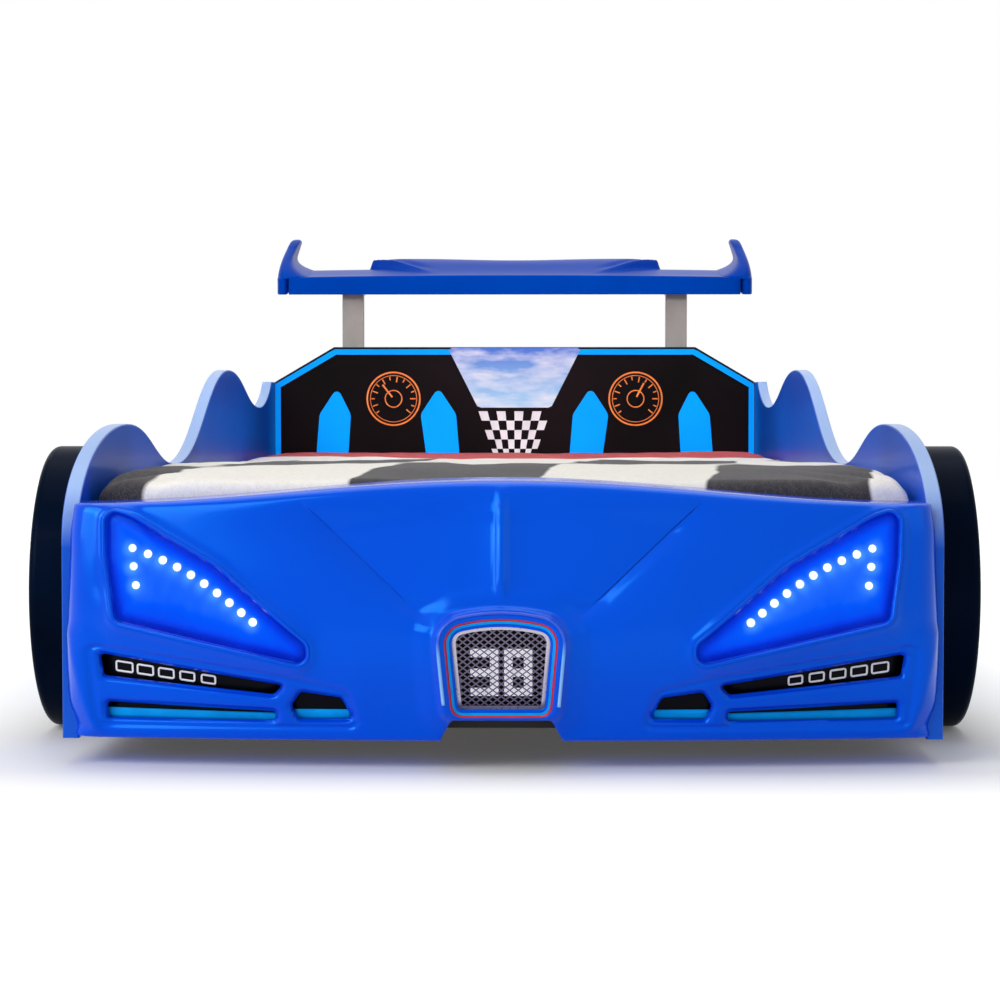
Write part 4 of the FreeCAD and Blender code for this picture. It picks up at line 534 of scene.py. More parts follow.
def spline_weights(t, count):
    """How much each of count guiding points pulls at places t: the cubic recursion, three times."""
    spans = count - 3
    knots = np.r_[0, 0, 0, np.arange(spans + 1), spans, spans, spans].astype(float)
    t = np.clip(np.asarray(t, float), 0, spans - 1e-9)[..., None]
    pull = ((knots[:-1] <= t) & (t < knots[1:])).astype(float)
    for degree in (1, 2, 3):
        rise = knots[degree:-1] - knots[:-degree - 1]
        fall = knots[degree + 1:] - knots[1:-degree]
        up = np.where(rise > 0, (t - knots[:-degree - 1]) / np.where(rise > 0, rise, 1), 0)
        down = np.where(fall > 0, (knots[degree + 1:] - t) / np.where(fall > 0, fall, 1), 0)
        pull = up * pull[..., :-1] + down * pull[..., 1:]
    return pull


NET = front_net()
U_END, V_END = NET.shape[0] - 3, NET.shape[1] - 3


def front_at(u, v):
    """Points of the front's smooth form at matching arrays of u, across, and v, upwards."""
    return np.einsum("...i,...j,ijk->...k", spline_weights(u, NET.shape[0]), spline_weights(v, NET.shape[1]),
                     NET, optimize=True)


def front_places(x, z):
    """The u and v whose point has this x and this height, found by repeated straight-line steps."""
    x, z = np.broadcast_arrays(np.asarray(x, float), np.asarray(z, float))
    across = np.linspace(0, U_END, 400)
    u = np.interp(x, front_at(across, 0 * across)[:, 0], across)
    up = np.linspace(2.5, V_END - 3.2, 60)
    v = np.interp(z, front_at(up * 0 + U_END / 2, up)[:, 2], up)
    for _ in range(7):
        here = front_at(u, v)[..., 2]
        ahead = front_at(u, v + 0.01)[..., 2]
        slope = np.maximum((ahead - here) / 0.01, 0.004)
        v = np.clip(v + np.clip((z - here) / slope, -0.6, 0.6), 2.0, V_END - 2.5)
    return u, v


print("front net:", NET.shape, "reach", round(float(NET[..., 1].min() - FRONT) * 1000, 1), "mm")

# %% [markdown]
# ## The plastic front: its openings and its relief
# The outlines of lamp, vents and grille repeat the measured ones. The relief is what the mould adds to
# the large form: a middle rib, two hollows beside it that end in slanted creases, a bead round each
# lamp, a step round the vents and a collar round the grille. Each is a height above the large form,
# worked out from the distance to a line or an outline.

# %% Outlines of the openings
E, V = -HALF, LOW
LAMP = rounded([(E + .0370, .2795, .011), (E + .0385, .226, .060), (E + .049, .159, .011),
                (E + .257, .114, .010), (E + .257, .136, .012), (E + .160, .2175, .100),
                (E + .068, .2690, .060)])
VENT_UP = rounded([(E + .032, V + .093, .002), (E + .035, V + .069, .002), (E + .220, V + .051, .003),
                   (E + .230, V + .061, .002)])
VENT_LOW = rounded([(E + .038, V + .040, .002), (E + .038, V + .023, .002), (E + .221, V + .022, .002),
                    (E + .221, V + .032, .002)])
VENT_IN = rounded([(E + .249, V + .054, .004), (E + .239, V + .039, .003), (E + .246, V + .024, .003),
                   (E + .304, V + .025, .003), (E + .292, V + .048, .004)])
GRILLE = rounded([(-.046, .066, .005), (.046, .066, .005), (.053, .150, .014), (0, .1615, .180),
                  (-.053, .150, .014)])
ARCH = rounded([(-.066, -.02, .001), (-.066, .031, .001), (-.053, .055, .004), (.053, .055, .004),
                (.066, .031, .001), (.066, -.02, .001)])
VENT_FIELD = rounded([(E + .020, V + .104, .008), (E + .026, V + .014, .008), (E + .312, V + .014, .008),
                      (E + .300, V + .056, .010), (E + .235, V + .072, .012)])
VENTS = (VENT_UP, VENT_LOW, VENT_IN)
MIRROR = np.array([-1, 1])
print("lamp outline:", len(LAMP), "points")


# %% The relief
def soft(value, radius=0.003):
    """A value's size with its corner at zero rounded: the root of value squared plus radius squared."""
    return np.sqrt(value ** 2 + radius ** 2) - radius


def relief(x, z):
    """Height of the mould's details over the large form, in metres, at each x and z."""
    side = np.abs(x)
    down = hood_height(x) - z
    inside = CREASE_X - CREASE_LEAN * (CREASE_Z - z) - side
    deep, out = np.maximum(inside, 0), np.maximum(-inside, 0)
    fold = np.where(inside > 0, 0.005 * (1 - np.exp(-deep / 0.05)) - 0.0130, -0.0130 * np.exp(-out / 0.030))
    height = fold * fade(down, 0.006, 0.050) * fade(z, 0.145, 0.185)
    rib = np.exp(-(side / 0.0058) ** 6) * 0.0045 + 0.004 * np.exp(-(side / 0.02) ** 2)
    height += rib * fade(down, 0.000, 0.045) * fade(z, 0.180, 0.205)
    lamp_gap = edge_distance(LAMP, -side, z)[0]
    height += 0.0032 * np.exp(-((lamp_gap - 0.0050) / 0.0040) ** 2)
    height += 0.005 * fade(lamp_gap, 0.028, 0.006) * fade(z, 0.20, 0.15) * fade(side, 0.17, 0.24)
    field = edge_distance(VENT_FIELD, -side, z)[0]
    height -= 0.0075 * fade(field, 0.003, -0.004)
    bars = np.minimum.reduce([edge_distance(opening, -side, z)[0] for opening in VENTS])
    height += 0.0065 * fade(field, 0.001, -0.006) * fade(bars, 0.0, 0.006)
    collar = edge_distance(GRILLE, x, z)[0]
    off_crest = np.maximum(np.abs(collar - 0.0135) - 0.003, 0)
    height += 0.0075 * np.exp(-(off_crest / 0.0035) ** 2) * fade(z, 0.045, 0.065)
    height += 0.0045 * fade(collar, 0.046, 0.024) * fade(z, 0.03, 0.06)
    turned = side - (HALF - 0.0222 * (0.151 - z) / 0.1005)
    facet = fade(z, 0.158, 0.142) * fade(z, 0.033, 0.045)
    height += facet * (0.0040 * np.exp(-soft(turned) / 0.010) - 0.34 * np.maximum(turned, 0))
    return height * fade(down, 0.0, 0.012)


def drape(x, z, lift=0.0):
    """Points on the finished front at each x and z, lifted off it by a height."""
    u, v = front_places(x, z)
    points = front_at(u, v)
    points[..., 1] -= relief(points[..., 0], points[..., 2]) + lift
    return points


print("deepest relief:", round(float(relief(np.array([0.075]), np.array([0.25]))[0]) * 1000, 1), "mm")

# %% [markdown]
# ## The plastic front: cutting and closing the skin
# The grid's cells whose middle lies in an opening are left out. The points along the ragged edge that
# this leaves are then pulled sideways onto the outline itself, which gives a clean edge with no
# Boolean cut and keeps the shading smooth. A Solidify modifier gives the sheet its 2.8 mm.

# %% The skin of the front
def even_places(points_of, end, step, low=0.0):
    """Places from low to end whose points lie an equal step apart along a line."""
    fine = np.linspace(low, end, 1500)
    line = points_of(fine)
    along = np.r_[0, np.cumsum(np.linalg.norm(np.diff(line, axis=0), axis=1))]
    return np.interp(np.linspace(0, along[-1], int(along[-1] / step) + 1), along, fine)


u_line = even_places(lambda t: front_at(t, 0 * t + 7), U_END, 0.0031)
v_line = even_places(lambda t: front_at(0 * t + U_END / 2, t), V_END, 0.0020)
thin = (v_line < 2.5) | (v_line > V_END - 3)
kept = np.arange(len(v_line)) % np.where(thin, 3, 1) == 0
kept |= (v_line > 2.5) & (v_line < 7.0)
kept &= (v_line < 7.0) | (np.arange(len(v_line)) % 2 == 0)
v_line = np.r_[v_line[kept], V_END]
U, W = np.meshgrid(u_line, v_line, indexing="ij")
plain = front_at(U, W)
slope = np.interp(plain[..., 2], [0.035, 0.062, 0.0995, 0.150], [0, 0.0365, 0.135, 0])
rise = slope * np.clip(np.abs(plain[..., 0]) - 0.333, -0.11, 0.10) * fade(W, 3.0, 3.8)
climb = (front_at(U, np.minimum(W + 0.01, V_END))[..., 2] - plain[..., 2]) / 0.01
W = W + np.where(fade(W, 3.0, 3.8) > 0, rise / np.maximum(climb, 0.01), 0)
form = front_at(U, W)
faces = grid_faces(*U.shape)
flat_x, flat_z = form[..., 0].ravel(), form[..., 2].ravel()
centre_x, centre_z = flat_x[faces].mean(axis=1), flat_z[faces].mean(axis=1)
on_face = (W.ravel()[faces].mean(axis=1) > 2.4) & (W.ravel()[faces].mean(axis=1) < V_END - 3.1)
gone = np.zeros(len(faces), bool)
new_xz = np.stack([flat_x, flat_z], axis=1)
moved = np.zeros(len(flat_x), bool)
OPENINGS = [outline * way for outline in (LAMP, *VENTS) for way in (1, MIRROR)] + [GRILLE, ARCH]
for outline in OPENINGS:
    window = np.r_[outline.min(axis=0) - 0.01, outline.max(axis=0) + 0.01]
    near = (centre_x > window[0]) & (centre_x < window[2]) & (centre_z > window[1]) & (centre_z < window[3])
    near = near & (on_face if outline is not ARCH else True)
    gap = edge_distance(outline, centre_x[near], centre_z[near])[0]
    hole = np.zeros(len(faces), bool)
    hole[np.flatnonzero(near)[gap < 0]] = True
    edge = np.intersect1d(faces[hole], faces[near & ~hole])
    spot = edge_distance(outline, flat_x[edge], flat_z[edge])[1]
    if outline is ARCH:
        keep = flat_z[edge] > LOW + 0.004
        edge, spot = edge[keep], spot[keep]
    new_xz[edge] = spot
    moved[edge] = True
    gone |= hole
u_new, v_new = front_places(new_xz[moved, 0], new_xz[moved, 1])
skin_points = form.reshape(-1, 3).copy()
skin_points[moved] = front_at(u_new, v_new)
face_part = fade(W.ravel(), 2.2, 3.0) * fade(W.ravel(), V_END - 1.5, V_END - 2.6)
skin_points[:, 1] -= relief(skin_points[:, 0], skin_points[:, 2]) * face_part
low_part, high_part = fade(skin_points[:, 2], 0.030, 0.075), fade(skin_points[:, 2], 0.10, 0.26)
bulge = 0.0088 * low_part * (1 - 0.55 * high_part) * fade(skin_points[:, 2], 0.283, 0.245)
bulge *= fade(np.abs(skin_points[:, 0]), 0.425, HALF) * (skin_points[:, 1] < FRONT - 0.0005)
skin_points[:, 0] += np.sign(skin_points[:, 0]) * bulge
beside = (np.abs(skin_points[:, 0]) > 0.4588) & (skin_points[:, 1] > FRONT - 0.0003)
gone |= beside[faces].all(axis=1)
left = faces[~gone]
used, index = np.unique(left, return_inverse=True)
skin = (skin_points[used], index.reshape(left.shape))
front = front_sheet("front_skin", skin, plastic, "front_blue", 0.0028)
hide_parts("bumper_shell")
print("front skin:", len(left), "cells,", int(moved.sum()), "points pulled onto outlines")

# %% [markdown]
# ## Patches and ribbons
# Lenses, bowls and printed areas fill an outline: rings of points shrink from the outline to its middle
# and end in one point. Trims and borders run along an outline between two offsets from it.

# %% Patches and ribbons
def patch(outline, place, rings=8, grow=0.0):
    """Rings from an outline to its centre, closed by one point; place turns (x, z, share) into points.

    The share is 1 on the outline and 0 in the middle."""
    loop = outline + outward(outline) * grow
    centre = loop.mean(axis=0)
    shares = np.linspace(1, 0, rings + 1)[:-1] ** 0.8
    flat = centre + shares[:, None, None] * (loop - centre)
    points = place(flat[..., 0], flat[..., 1], np.broadcast_to(shares[:, None], flat.shape[:2]))
    middle = place(np.array([centre[0]]), np.array([centre[1]]), np.zeros(1))
    count = len(loop)
    ring = np.arange(count) + count * (rings - 1)
    fan = np.stack([ring, np.full(count, count * rings), np.roll(ring, -1)], axis=1)
    faces = [grid_faces(rings, count, True), fan]
    return np.vstack([points.reshape(-1, 3), middle.reshape(-1, 3)]), faces


def ribbon(outline, near, far, place, rows=3):
    """A closed band along an outline, from one offset to another; place turns (x, z, share) into points."""
    shares = np.linspace(0, 1, rows)
    flat = outline[None] + (near + (far - near) * shares)[:, None, None] * outward(outline)[None]
    points = place(flat[..., 0], flat[..., 1], np.broadcast_to(shares[:, None], flat.shape[:2]))
    return points.reshape(-1, 3), [grid_faces(rows, len(outline), True)]


def strip(lower, upper, place, rows=4):
    """A band between two lines of matching (x, z) points."""
    shares = np.linspace(0, 1, rows)[:, None, None]
    flat = lower[None] * (1 - shares) + upper[None] * shares
    points = place(flat[..., 0], flat[..., 1], np.broadcast_to(shares[..., 0], flat.shape[:2]))
    return points.reshape(-1, 3), [grid_faces(rows, len(lower))]


def joined(*parts):
    """Several (points, faces) shapes as one."""
    points, faces, first = [], [], 0
    for part_points, part_faces in parts:
        points.append(part_points)
        faces += [block + first for block in part_faces]
        first += len(part_points)
    return np.vstack(points), faces


def behind(depth):
    """A place function: points a depth behind the front's large form."""
    def place(x, z, share):
        points = front_at(*front_places(x, z))
        points[..., 1] += depth(share) if callable(depth) else depth
        return points
    return place


def on_front(lift):
    """A place function: points a little off the finished front."""
    return lambda x, z, share: drape(x, z, lift)


def bead_on_front(height):
    """A place function: a half-round bead that stands on the finished front."""
    return lambda x, z, share: drape(x, z, 0.0006 + height * np.sin(np.pi * share))


print("lamp patch:", len(patch(LAMP, behind(0.004))[0]), "points")

# %% [markdown]
# ## The lamps
# Each lamp is a deep blue lens over a shallow bowl with a row of small bright lamps. The lens is one
# crowned sheet. How much of it glows is stored point by point: every small lamp adds a soft hill of
# light, and the rim takes light away, because there the lens turns down into its seat.

# %% Lens, bowl and small lamps
LED_START = np.array([E + 0.0648, 0.2355])
LED_STEP = np.array([0.1330, -0.0775])
along = np.linspace(0, 1, 10)[:, None]
along = along * (1.175 - 0.175 * along)
LED_SPOTS = LED_START + LED_STEP * along + np.array([0, 0.0098]) * np.sin(np.pi * along)
LED_SPOTS = np.vstack([LED_SPOTS, LED_START + [0.0015, -0.0195], LED_START + [0.0043, -0.0397]])

lens_glow = Finish("lamp lens blue", paint(0, 14, 110), 0.12, Coat_Weight=0.02, Coat_Roughness=0.03,
                   IOR=1.4, Specular_Tint=BLUE_GLOSS)
light = lens_glow.attribute("glow")
streak = lens_glow.noise(90.0, 3.0, (1, 1, 0.5)) * 0.12 - 0.06
lens_glow.put("Emission Color", lens_glow.ramp(light + streak, (0.0, paint(4, 26, 160)),
                                               (0.3, paint(4, 58, 232)), (0.55, paint(0, 92, 252)),
                                               (1.0, paint(80, 165, 255))))
lens_glow.put("Emission Strength", 0.85)
lens_glow.put("Alpha", light * 0.1 + 0.62)

bowl_blue = Finish("lamp bowl blue", paint(3, 50, 190), 0.3)
ripple = bowl_blue.noise(55.0, 2.0)
bowl_blue.put("Emission Color", bowl_blue.ramp(ripple, (0.3, paint(2, 40, 190)), (0.7, paint(0, 80, 240))))
bowl_blue.put("Emission Strength", 0.6)

led_white = Finish("small lamp white", paint(255, 255, 255), 0.3)
sparkle = led_white.noise(600.0, 2.0)
led_white.put("Emission Color", led_white.ramp(sparkle, (0.2, paint(225, 240, 255)),
                                               (0.6, paint(255, 255, 255))))
led_white.put("Emission Strength", 14.0)


def dome(centre, radius, depth, side):
    """Half a sphere on the bowl: rings of points from its rim to one point ahead of it."""
    x, z = centre
    turn_angle = np.linspace(0, 2 * np.pi, 13)[:-1]
    loop = np.stack([x * side + radius * np.cos(turn_angle), z + radius * np.sin(turn_angle)], axis=1)

    def place(px, pz, share):
        base = front_at(*front_places(px * 0 + x * side, pz * 0 + z))
        base[..., 0], base[..., 2] = px, pz
        base[..., 1] += depth - radius * np.sqrt(np.clip(1 - share ** 2, 0, 1))
        return base
    return patch(loop, place, 5)


def bowl_depth(share):
    return 0.007 + 0.012 * (1 - share ** 6)


def lens_depth(share):
    return 0.0052 - 0.0040 * (1 - share ** 4)


for side, name in ((1, "left"), (-1, "right")):
    outline = LAMP * np.array([side, 1])
    bowl = patch(outline, behind(bowl_depth), 12, 0.002)
    front_sheet(f"lamp_bowl_{name}", bowl, bowl_blue, "lamp_blue", 0.0015)
    domes = joined(*[dome(spot, 0.0047, 0.0188, side) for spot in LED_SPOTS])
    leds = new_piece(f"lamp_leds_{name}", *domes, led_white, "led_light", facing=(0, -1, 0))
    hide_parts(f"headlight_leds_{name}")
    crowned = patch(outline, behind(lens_depth), 26, -0.0004)
    lens = front_sheet(f"lamp_lens_{name}", crowned, lens_glow, "lens", 0.0016)
    spots = np.array([vertex.co[:] for vertex in lens.data.vertices])
    aside = spots[:, None, 0] - LED_SPOTS[None, :, 0] * side
    apart = np.hypot(aside, spots[:, None, 2] - LED_SPOTS[None, :, 1])
    rim = edge_distance(outline, spots[:, 0], spots[:, 2])[0]
    glow = 0.42 * fade(rim, -0.001, -0.016) + 0.13 * fade(rim, -0.012, -0.035)
    glow += 0.45 * np.exp(-(apart / 0.0075) ** 2).max(axis=1) + 0.1 * np.exp(-(apart / 0.03) ** 2).max(axis=1)
    colour_points(lens, "glow", glow)
    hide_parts(f"headlight_lens_{name}")
    bead = ribbon(outline, -0.0006, 0.0042, bead_on_front(0.0018), 8)
    front_sheet(f"lamp_bead_{name}", bead, plastic, "front_blue", 0.0006)
print("small lamps in each lens:", len(LED_SPOTS))

# %% [markdown]
# ## Vents and grille trims
# Behind each air vent lies a black sheet. A cyan strip runs along the lower vents, and five small frames
# with rounded corners get smaller along the upper one. Round the grille run a cyan line, a thin red
# line and a narrow lip whose foot has a painted highlight: light blue low down, the plastic's blue above.

# %% Vent sheets, strips and frames
def line_at(x, x0, z0, x1, z1):
    """Height of the straight line through two points at each x."""
    return z0 + (z1 - z0) * (x - x0) / (x1 - x0)


VENT_DEPTH = 0.0135
for side, name in ((1, "left"), (-1, "right")):
    flip = np.array([side, 1])
    sheets = [patch(opening * flip, behind(VENT_DEPTH), 4, 0.003) for opening in VENTS]
    sheet = front_sheet(f"vent_sheet_{name}", joined(*sheets), vent_black, "vent_black", 0.001)
    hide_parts(f"vent_tray_{name}")
    low_x = np.linspace(E + 0.036, E + 0.223, 60)
    inner_x = np.linspace(E + 0.2415, E + 0.3015, 24)
    low_foot = np.stack([low_x, line_at(low_x, E + .042, V + .021, E + .221, V + .020)], axis=1)
    low_head = np.stack([low_x, line_at(low_x, E + .042, V + .0330, E + .221, V + .0295)], axis=1)
    inner_foot = np.stack([inner_x, V + .022 + 0 * inner_x], axis=1)
    inner_head = np.stack([inner_x, V + .034 + 0 * inner_x], axis=1)
    stripes = joined(strip(low_foot * flip, low_head * flip, behind(VENT_DEPTH - 0.0012)),
                     strip(inner_foot * flip, inner_head * flip, behind(VENT_DEPTH - 0.0012)))
    piece = front_sheet(f"vent_strip_{name}", stripes, cyan, "stripe_cyan", 0.0008)
    if side == 1:
        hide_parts("vent_stripes")
    frames = []
    for share in np.linspace(0, 1, 5):
        x = -0.4068 + 0.0922 * share
        vent_top = line_at(x, E + .036, V + .0925, E + .227, V + .0615)
        z = (vent_top + line_at(x, E + .039, V + .0695, E + .219, V + .051)) / 2
        wide, tall, lean = 0.0100 - 0.0016 * share, 0.0062 - 0.0008 * share, -0.13
        corners = [(x + a * wide, z - 0.0005 + b * tall + lean * a * wide, 0.0025)
                   for a, b in ((-1, -1), (1, -1), (1, 1), (-1, 1))]
        frames.append(ribbon(rounded(corners, 0.0008) * flip, -0.0020, 0, behind(VENT_DEPTH - 0.0014)))
    front_sheet(f"vent_frames_{name}", joined(*frames), white, "digit_white", 0.0008)
print("vent frames: 5 on each side")

# %% Grille lines
for name, near, far, finish, slot in (("cyan", 0.0028, 0.0056, cyan, "stripe_cyan"),
                                      ("red", 0.0056, 0.0076, ring_red, "rocker_red")):
    front_sheet(f"grille_line_{name}", ribbon(GRILLE, near, far, on_front(0.0009), 4), finish, slot, 0.0008)
LIP_FOOT, LIP_NEAR, LIP_FAR = 0.072, 0.0128, 0.0165
above = GRILLE[:, 1] > LIP_FOOT
first = int(np.argmax(above & ~np.roll(above, 1)))
order = np.roll(np.arange(len(GRILLE)), -first)[:above.sum()]
lip_loop, lip_way = GRILLE[order], outward(GRILLE)[order]
lip = strip(lip_loop + lip_way * LIP_NEAR, lip_loop + lip_way * LIP_FAR, bead_on_front(0.0014), 8)
front_sheet("grille_lip", lip, lip_painted_highlight, "front_blue", 0.0006)
print("grille lines follow", len(GRILLE), "points")

# %% [markdown]
# ## The wing
# A wing is a side view carried across: a flat front face, a top that climbs to the rear edge, and a thin
# tail. Its raised middle ends in steps that slant like arrowheads, so the top is worked out as one
# height over (x, y) and the same grid wraps round the front, the top, the tail and the underside.

# %% The wing's surface
WING_LOW, WING_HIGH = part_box("spoiler_wing")
WING_FRONT, WING_REAR = WING_LOW[1], WING_HIGH[1]
WING_HALF, FIN_INNER, FIN_FOOT = 0.4306, 0.4318, 0.4553
CHORD = WING_REAR - WING_FRONT
UNDER, FACE, PAD = WING_LOW[2], 0.0315, 0.0055
REAR_HIGH, REAR_LOW, FIN_REAR_LOW = 0.655, 0.643, 0.631
WING_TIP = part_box("spoiler_fin_left")[1][2]


def wing_top(x, share):
    """Top height at x and at a share of the chord: a ramp, with the raised middle inside slanted steps."""
    outer = UNDER + FACE + 0.004 * (1 - (x / WING_HALF) ** 2)
    outer = outer + (REAR_HIGH - UNDER - FACE) * fade(share, -0.15, 0.9)
    step = 0.293 - 0.17 * (1 - share) ** 0.9
    inside = fade(np.abs(x), step + 0.004, step - 0.006)
    dip = 0.0055 * np.exp(-(x / 0.13) ** 2)
    groove = 0.004 * np.exp(-((np.abs(x) - step + 0.020) / 0.012) ** 2) * fade(share, 0.35, 0.6)
    return outer + (0.0215 - dip * fade(share, 0.5, 1)) * inside * fade(share, 0.12, 0.95) - groove * inside


def underside(share, rear):
    """Height of the underside at a share of the chord: a small step, a flat run, a climb to the rear."""
    return UNDER + PAD * fade(share, 0, 0.15) + (rear - UNDER - PAD) * np.clip((share - 0.55) / 0.45, 0, 1)


def wing_grid():
    """Stations across x by a closed side view: up the face, over the top, down the tail, back below."""
    across = np.unique(np.r_[np.linspace(-WING_HALF, WING_HALF, 61), np.linspace(-0.30, -0.10, 70),
                             np.linspace(0.10, 0.30, 70)])
    x = across[:, None]
    rise = np.linspace(0, 1, 7)[:-1]
    bend = np.linspace(0, np.pi / 2, 6)[:-1]
    back = np.linspace(0.015, 0.97, 44)
    tail = np.linspace(-np.pi / 2, np.pi / 2, 9)[1:]
    under = np.linspace(1, 0, 30)[1:]
    round_edge, foot = 0.003, UNDER + 0.002
    face_top, tail_top = wing_top(x, 0.0), wing_top(x, 0.97)
    return np.concatenate([
        xyz(x, WING_FRONT, foot + (face_top - round_edge - foot) * rise),
        xyz(x, WING_FRONT + round_edge * (1 - np.cos(bend)), face_top - round_edge * (1 - np.sin(bend))),
        xyz(x, WING_FRONT + CHORD * back, wing_top(x, back)),
        xyz(x, WING_REAR - CHORD * 0.03 * (1 - np.cos(tail)),
            (tail_top + REAR_LOW) / 2 + (REAR_LOW - tail_top) / 2 * np.sin(tail)),
        xyz(x, WING_FRONT + CHORD * under * 0.985, underside(under, REAR_LOW))], axis=1)


points = wing_grid()
wing = new_piece("wing", *tube(points), wing_paint, "wing_blue", repair=True)
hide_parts("spoiler_wing")
print("wing:", points.shape[:2], "points, rear edge", round(float(points[..., 2].max()), 4))

# %% [markdown]
# ## The fins
# Each end fin leans in towards the wing. It is a stack of level slices with round ends: the front end
# sweeps back as the fin climbs, and the foot widens inwards in a soft curve to meet the wing's top.

# %% The fins
def fin_grid(side):
    """Rings of a fin, from its underside at level -1, past the wing's top at level 0, to its tip at 1.

    Below level 0 a ring blends from the underside to the wing's top; above it, from there to the tip."""
    near_tip = 0.8 + 0.2 * np.sin(np.linspace(0, np.pi / 2, 13)[1:])
    level = np.r_[np.linspace(-1, 0, 10), np.linspace(0.02, 0.8, 36), near_tip]
    up = np.clip(level, 0, 1)[:, None]
    turn_angle = np.linspace(0, 2 * np.pi, 65)[:-1]
    along = np.sign(np.cos(turn_angle)) * np.abs(np.cos(turn_angle)) ** 0.30
    across = np.sign(np.sin(turn_angle)) * np.abs(np.sin(turn_angle)) ** 0.75
    round_top = np.sqrt(np.clip(1 - (np.clip(up - 0.72, 0, 1) / 0.281) ** 2, 0, 1))
    front = WING_FRONT + 0.135 * fade(up, -0.10, 0.95) - 0.135 * fade(0, -0.10, 0.95)
    rear = WING_REAR - 0.004 * up
    half = (rear - front) / 2 * (0.10 + 0.90 * round_top)
    centre = (front + rear) / 2 + 0.022 * (1 - round_top)
    y = centre + half * along
    half_thick = 0.0098 * (0.1 + 0.9 * np.sqrt(np.clip(1 - (np.clip(up - 0.87, 0, 1) / 0.131) ** 2, 0, 1)))
    line = FIN_FOOT - 0.0098 - 0.016 * up ** 1.3
    outer = line + half_thick
    inner = line - half_thick - 0.042 * np.clip(1 - up / 0.52, 0, 1) ** 2.6
    inner = np.where(level[:, None] < -0.01, FIN_INNER, inner)
    x = (outer + inner) / 2 + (outer - inner) / 2 * across
    share = np.clip((y - WING_FRONT) / CHORD, 0, 1)
    below = underside(share, FIN_REAR_LOW)
    seat = wing_top(0 * share + WING_HALF, share)
    z = np.where(level[:, None] < 0, below * -level[:, None] + seat * (1 + level[:, None]),
                 seat * (1 - up) + WING_TIP * up)
    return xyz(side * x, y, z)


for side, name in ((-1, "left"), (1, "right")):
    fin = new_piece(f"fin_{name}", *tube(fin_grid(side)), wing_paint, "wing_blue", repair=True)
    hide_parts(f"spoiler_fin_{name}")
print("fins:", fin_grid(1).shape[0], "slices each")

# %% [markdown]
# ## The headboard's printed face
# The printed picture is a design of its own: two round gauges with orange rings between cyan speed
# wedges, and a window of sky above a checkered lane. Each printed area is a very thin sheet in front of the
# black board, so its edges stay sharp at any distance. The cyan glows a little: painted light, as if lit from
# the front.

# %% Print finishes
print_black = worn("print black", 0.5, (24, 14, 19), (8, 5, 7), 3.0, IOR=1.12)
print_cyan_self_lit = worn("print cyan", 0.45, (0, 155, 250), (0, 138, 232), 5.0, IOR=1.12)
# Painted light: the cyan print gives out light of its own, though it is no lamp.
print_cyan_self_lit.put("Emission Color", paint(0, 150, 250)).put("Emission Strength", 0.4)
print_orange = worn("print orange", 0.4, (244, 134, 24), (232, 116, 16), 60.0)
print_white = worn("print white", 0.4, (238, 238, 243), (220, 220, 228), 20.0)
print_sky = Finish("print sky", paint(60, 130, 220), 0.4)
cloud = print_sky.noise(26.0, 6.0, (0.55, 1, 1.6))
height = (print_sky.axes("z")[0] - 0.40) / 0.10
puffs = (cloud * 2.6 - 1.12 + (1 - height) * 0.15).clamp()
blue_sky = print_sky.ramp(height, (0.0, paint(150, 200, 240)), (1.0, paint(20, 92, 205)))
print_sky.put("Base Color", print_sky.blend(puffs, blue_sky, paint(236, 238, 246)))
print("print finishes ready")

# %% Print sheets
HEAD_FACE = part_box("headboard_panel")[0][1]


def on_head(layer):
    """A place function: the printed face, a tenth of a millimetre further out for each layer."""
    def place(x, z, share):
        return xyz(x, HEAD_FACE - 0.00012 * layer, z)
    return place


def printed(name, shape, finish):
    front_sheet(name, shape, finish, "headboard_face", 0.0001, smooth=False)


board_edge = rounded([(-.460, .262, .002), (.460, .262, .002), (.460, .434, .006), (.346, .501, .006),
                      (-.346, .501, .006), (-.460, .434, .006)], 0.004)
border_edge = rounded([(-.4632, .262, .002), (.4632, .262, .002), (.4632, .4325, .006), (.346, .501, .006),
                       (-.346, .501, .006), (-.4632, .4325, .006)], 0.004)
printed("print_ground", patch(board_edge, on_head(1), 6, -0.0008), print_black)
printed("print_border", ribbon(border_edge, -0.0145, -0.0042, on_head(2)), print_cyan_self_lit)
window = rounded([(-.128, .4998, .003), (.128, .4998, .003), (.070, .385, .006), (-.070, .385, .006)], 0.004)
printed("print_sky", patch(window, on_head(3), 6), print_sky)
squares = []
for row in range(5):
    low, high = 0.288 + 0.018 * row, 0.306 + 0.018 * row
    half_low, half_high = 0.038 + 0.0062 * row, 0.038 + 0.0062 * (row + 1)
    for column in range(row % 2, 8, 2):
        shares = np.array([column, column + 1]) / 4 - 1
        squares.append(strip(np.stack([shares * half_low, np.full(2, low)], axis=1),
                             np.stack([shares * half_high, np.full(2, high)], axis=1), on_head(3), 2))
printed("print_checkers", joined(*squares), print_white)


def circle(x, z, radius, count=72):
    turn_angle = np.linspace(0, 2 * np.pi, count + 1)[:-1]
    return np.stack([x + radius * np.cos(turn_angle), z + radius * np.sin(turn_angle)], axis=1)


def spoke(x, z, angle, near, far, wide):
    """One radial tick of a gauge, as a narrow quad."""
    ahead = np.array([math.cos(angle), math.sin(angle)])
    aside = np.array([-ahead[1], ahead[0]]) * wide / 2
    spots = np.array([x, z]) + np.outer([near, far], ahead)
    return strip(spots - aside, spots + aside, on_head(4), 2)


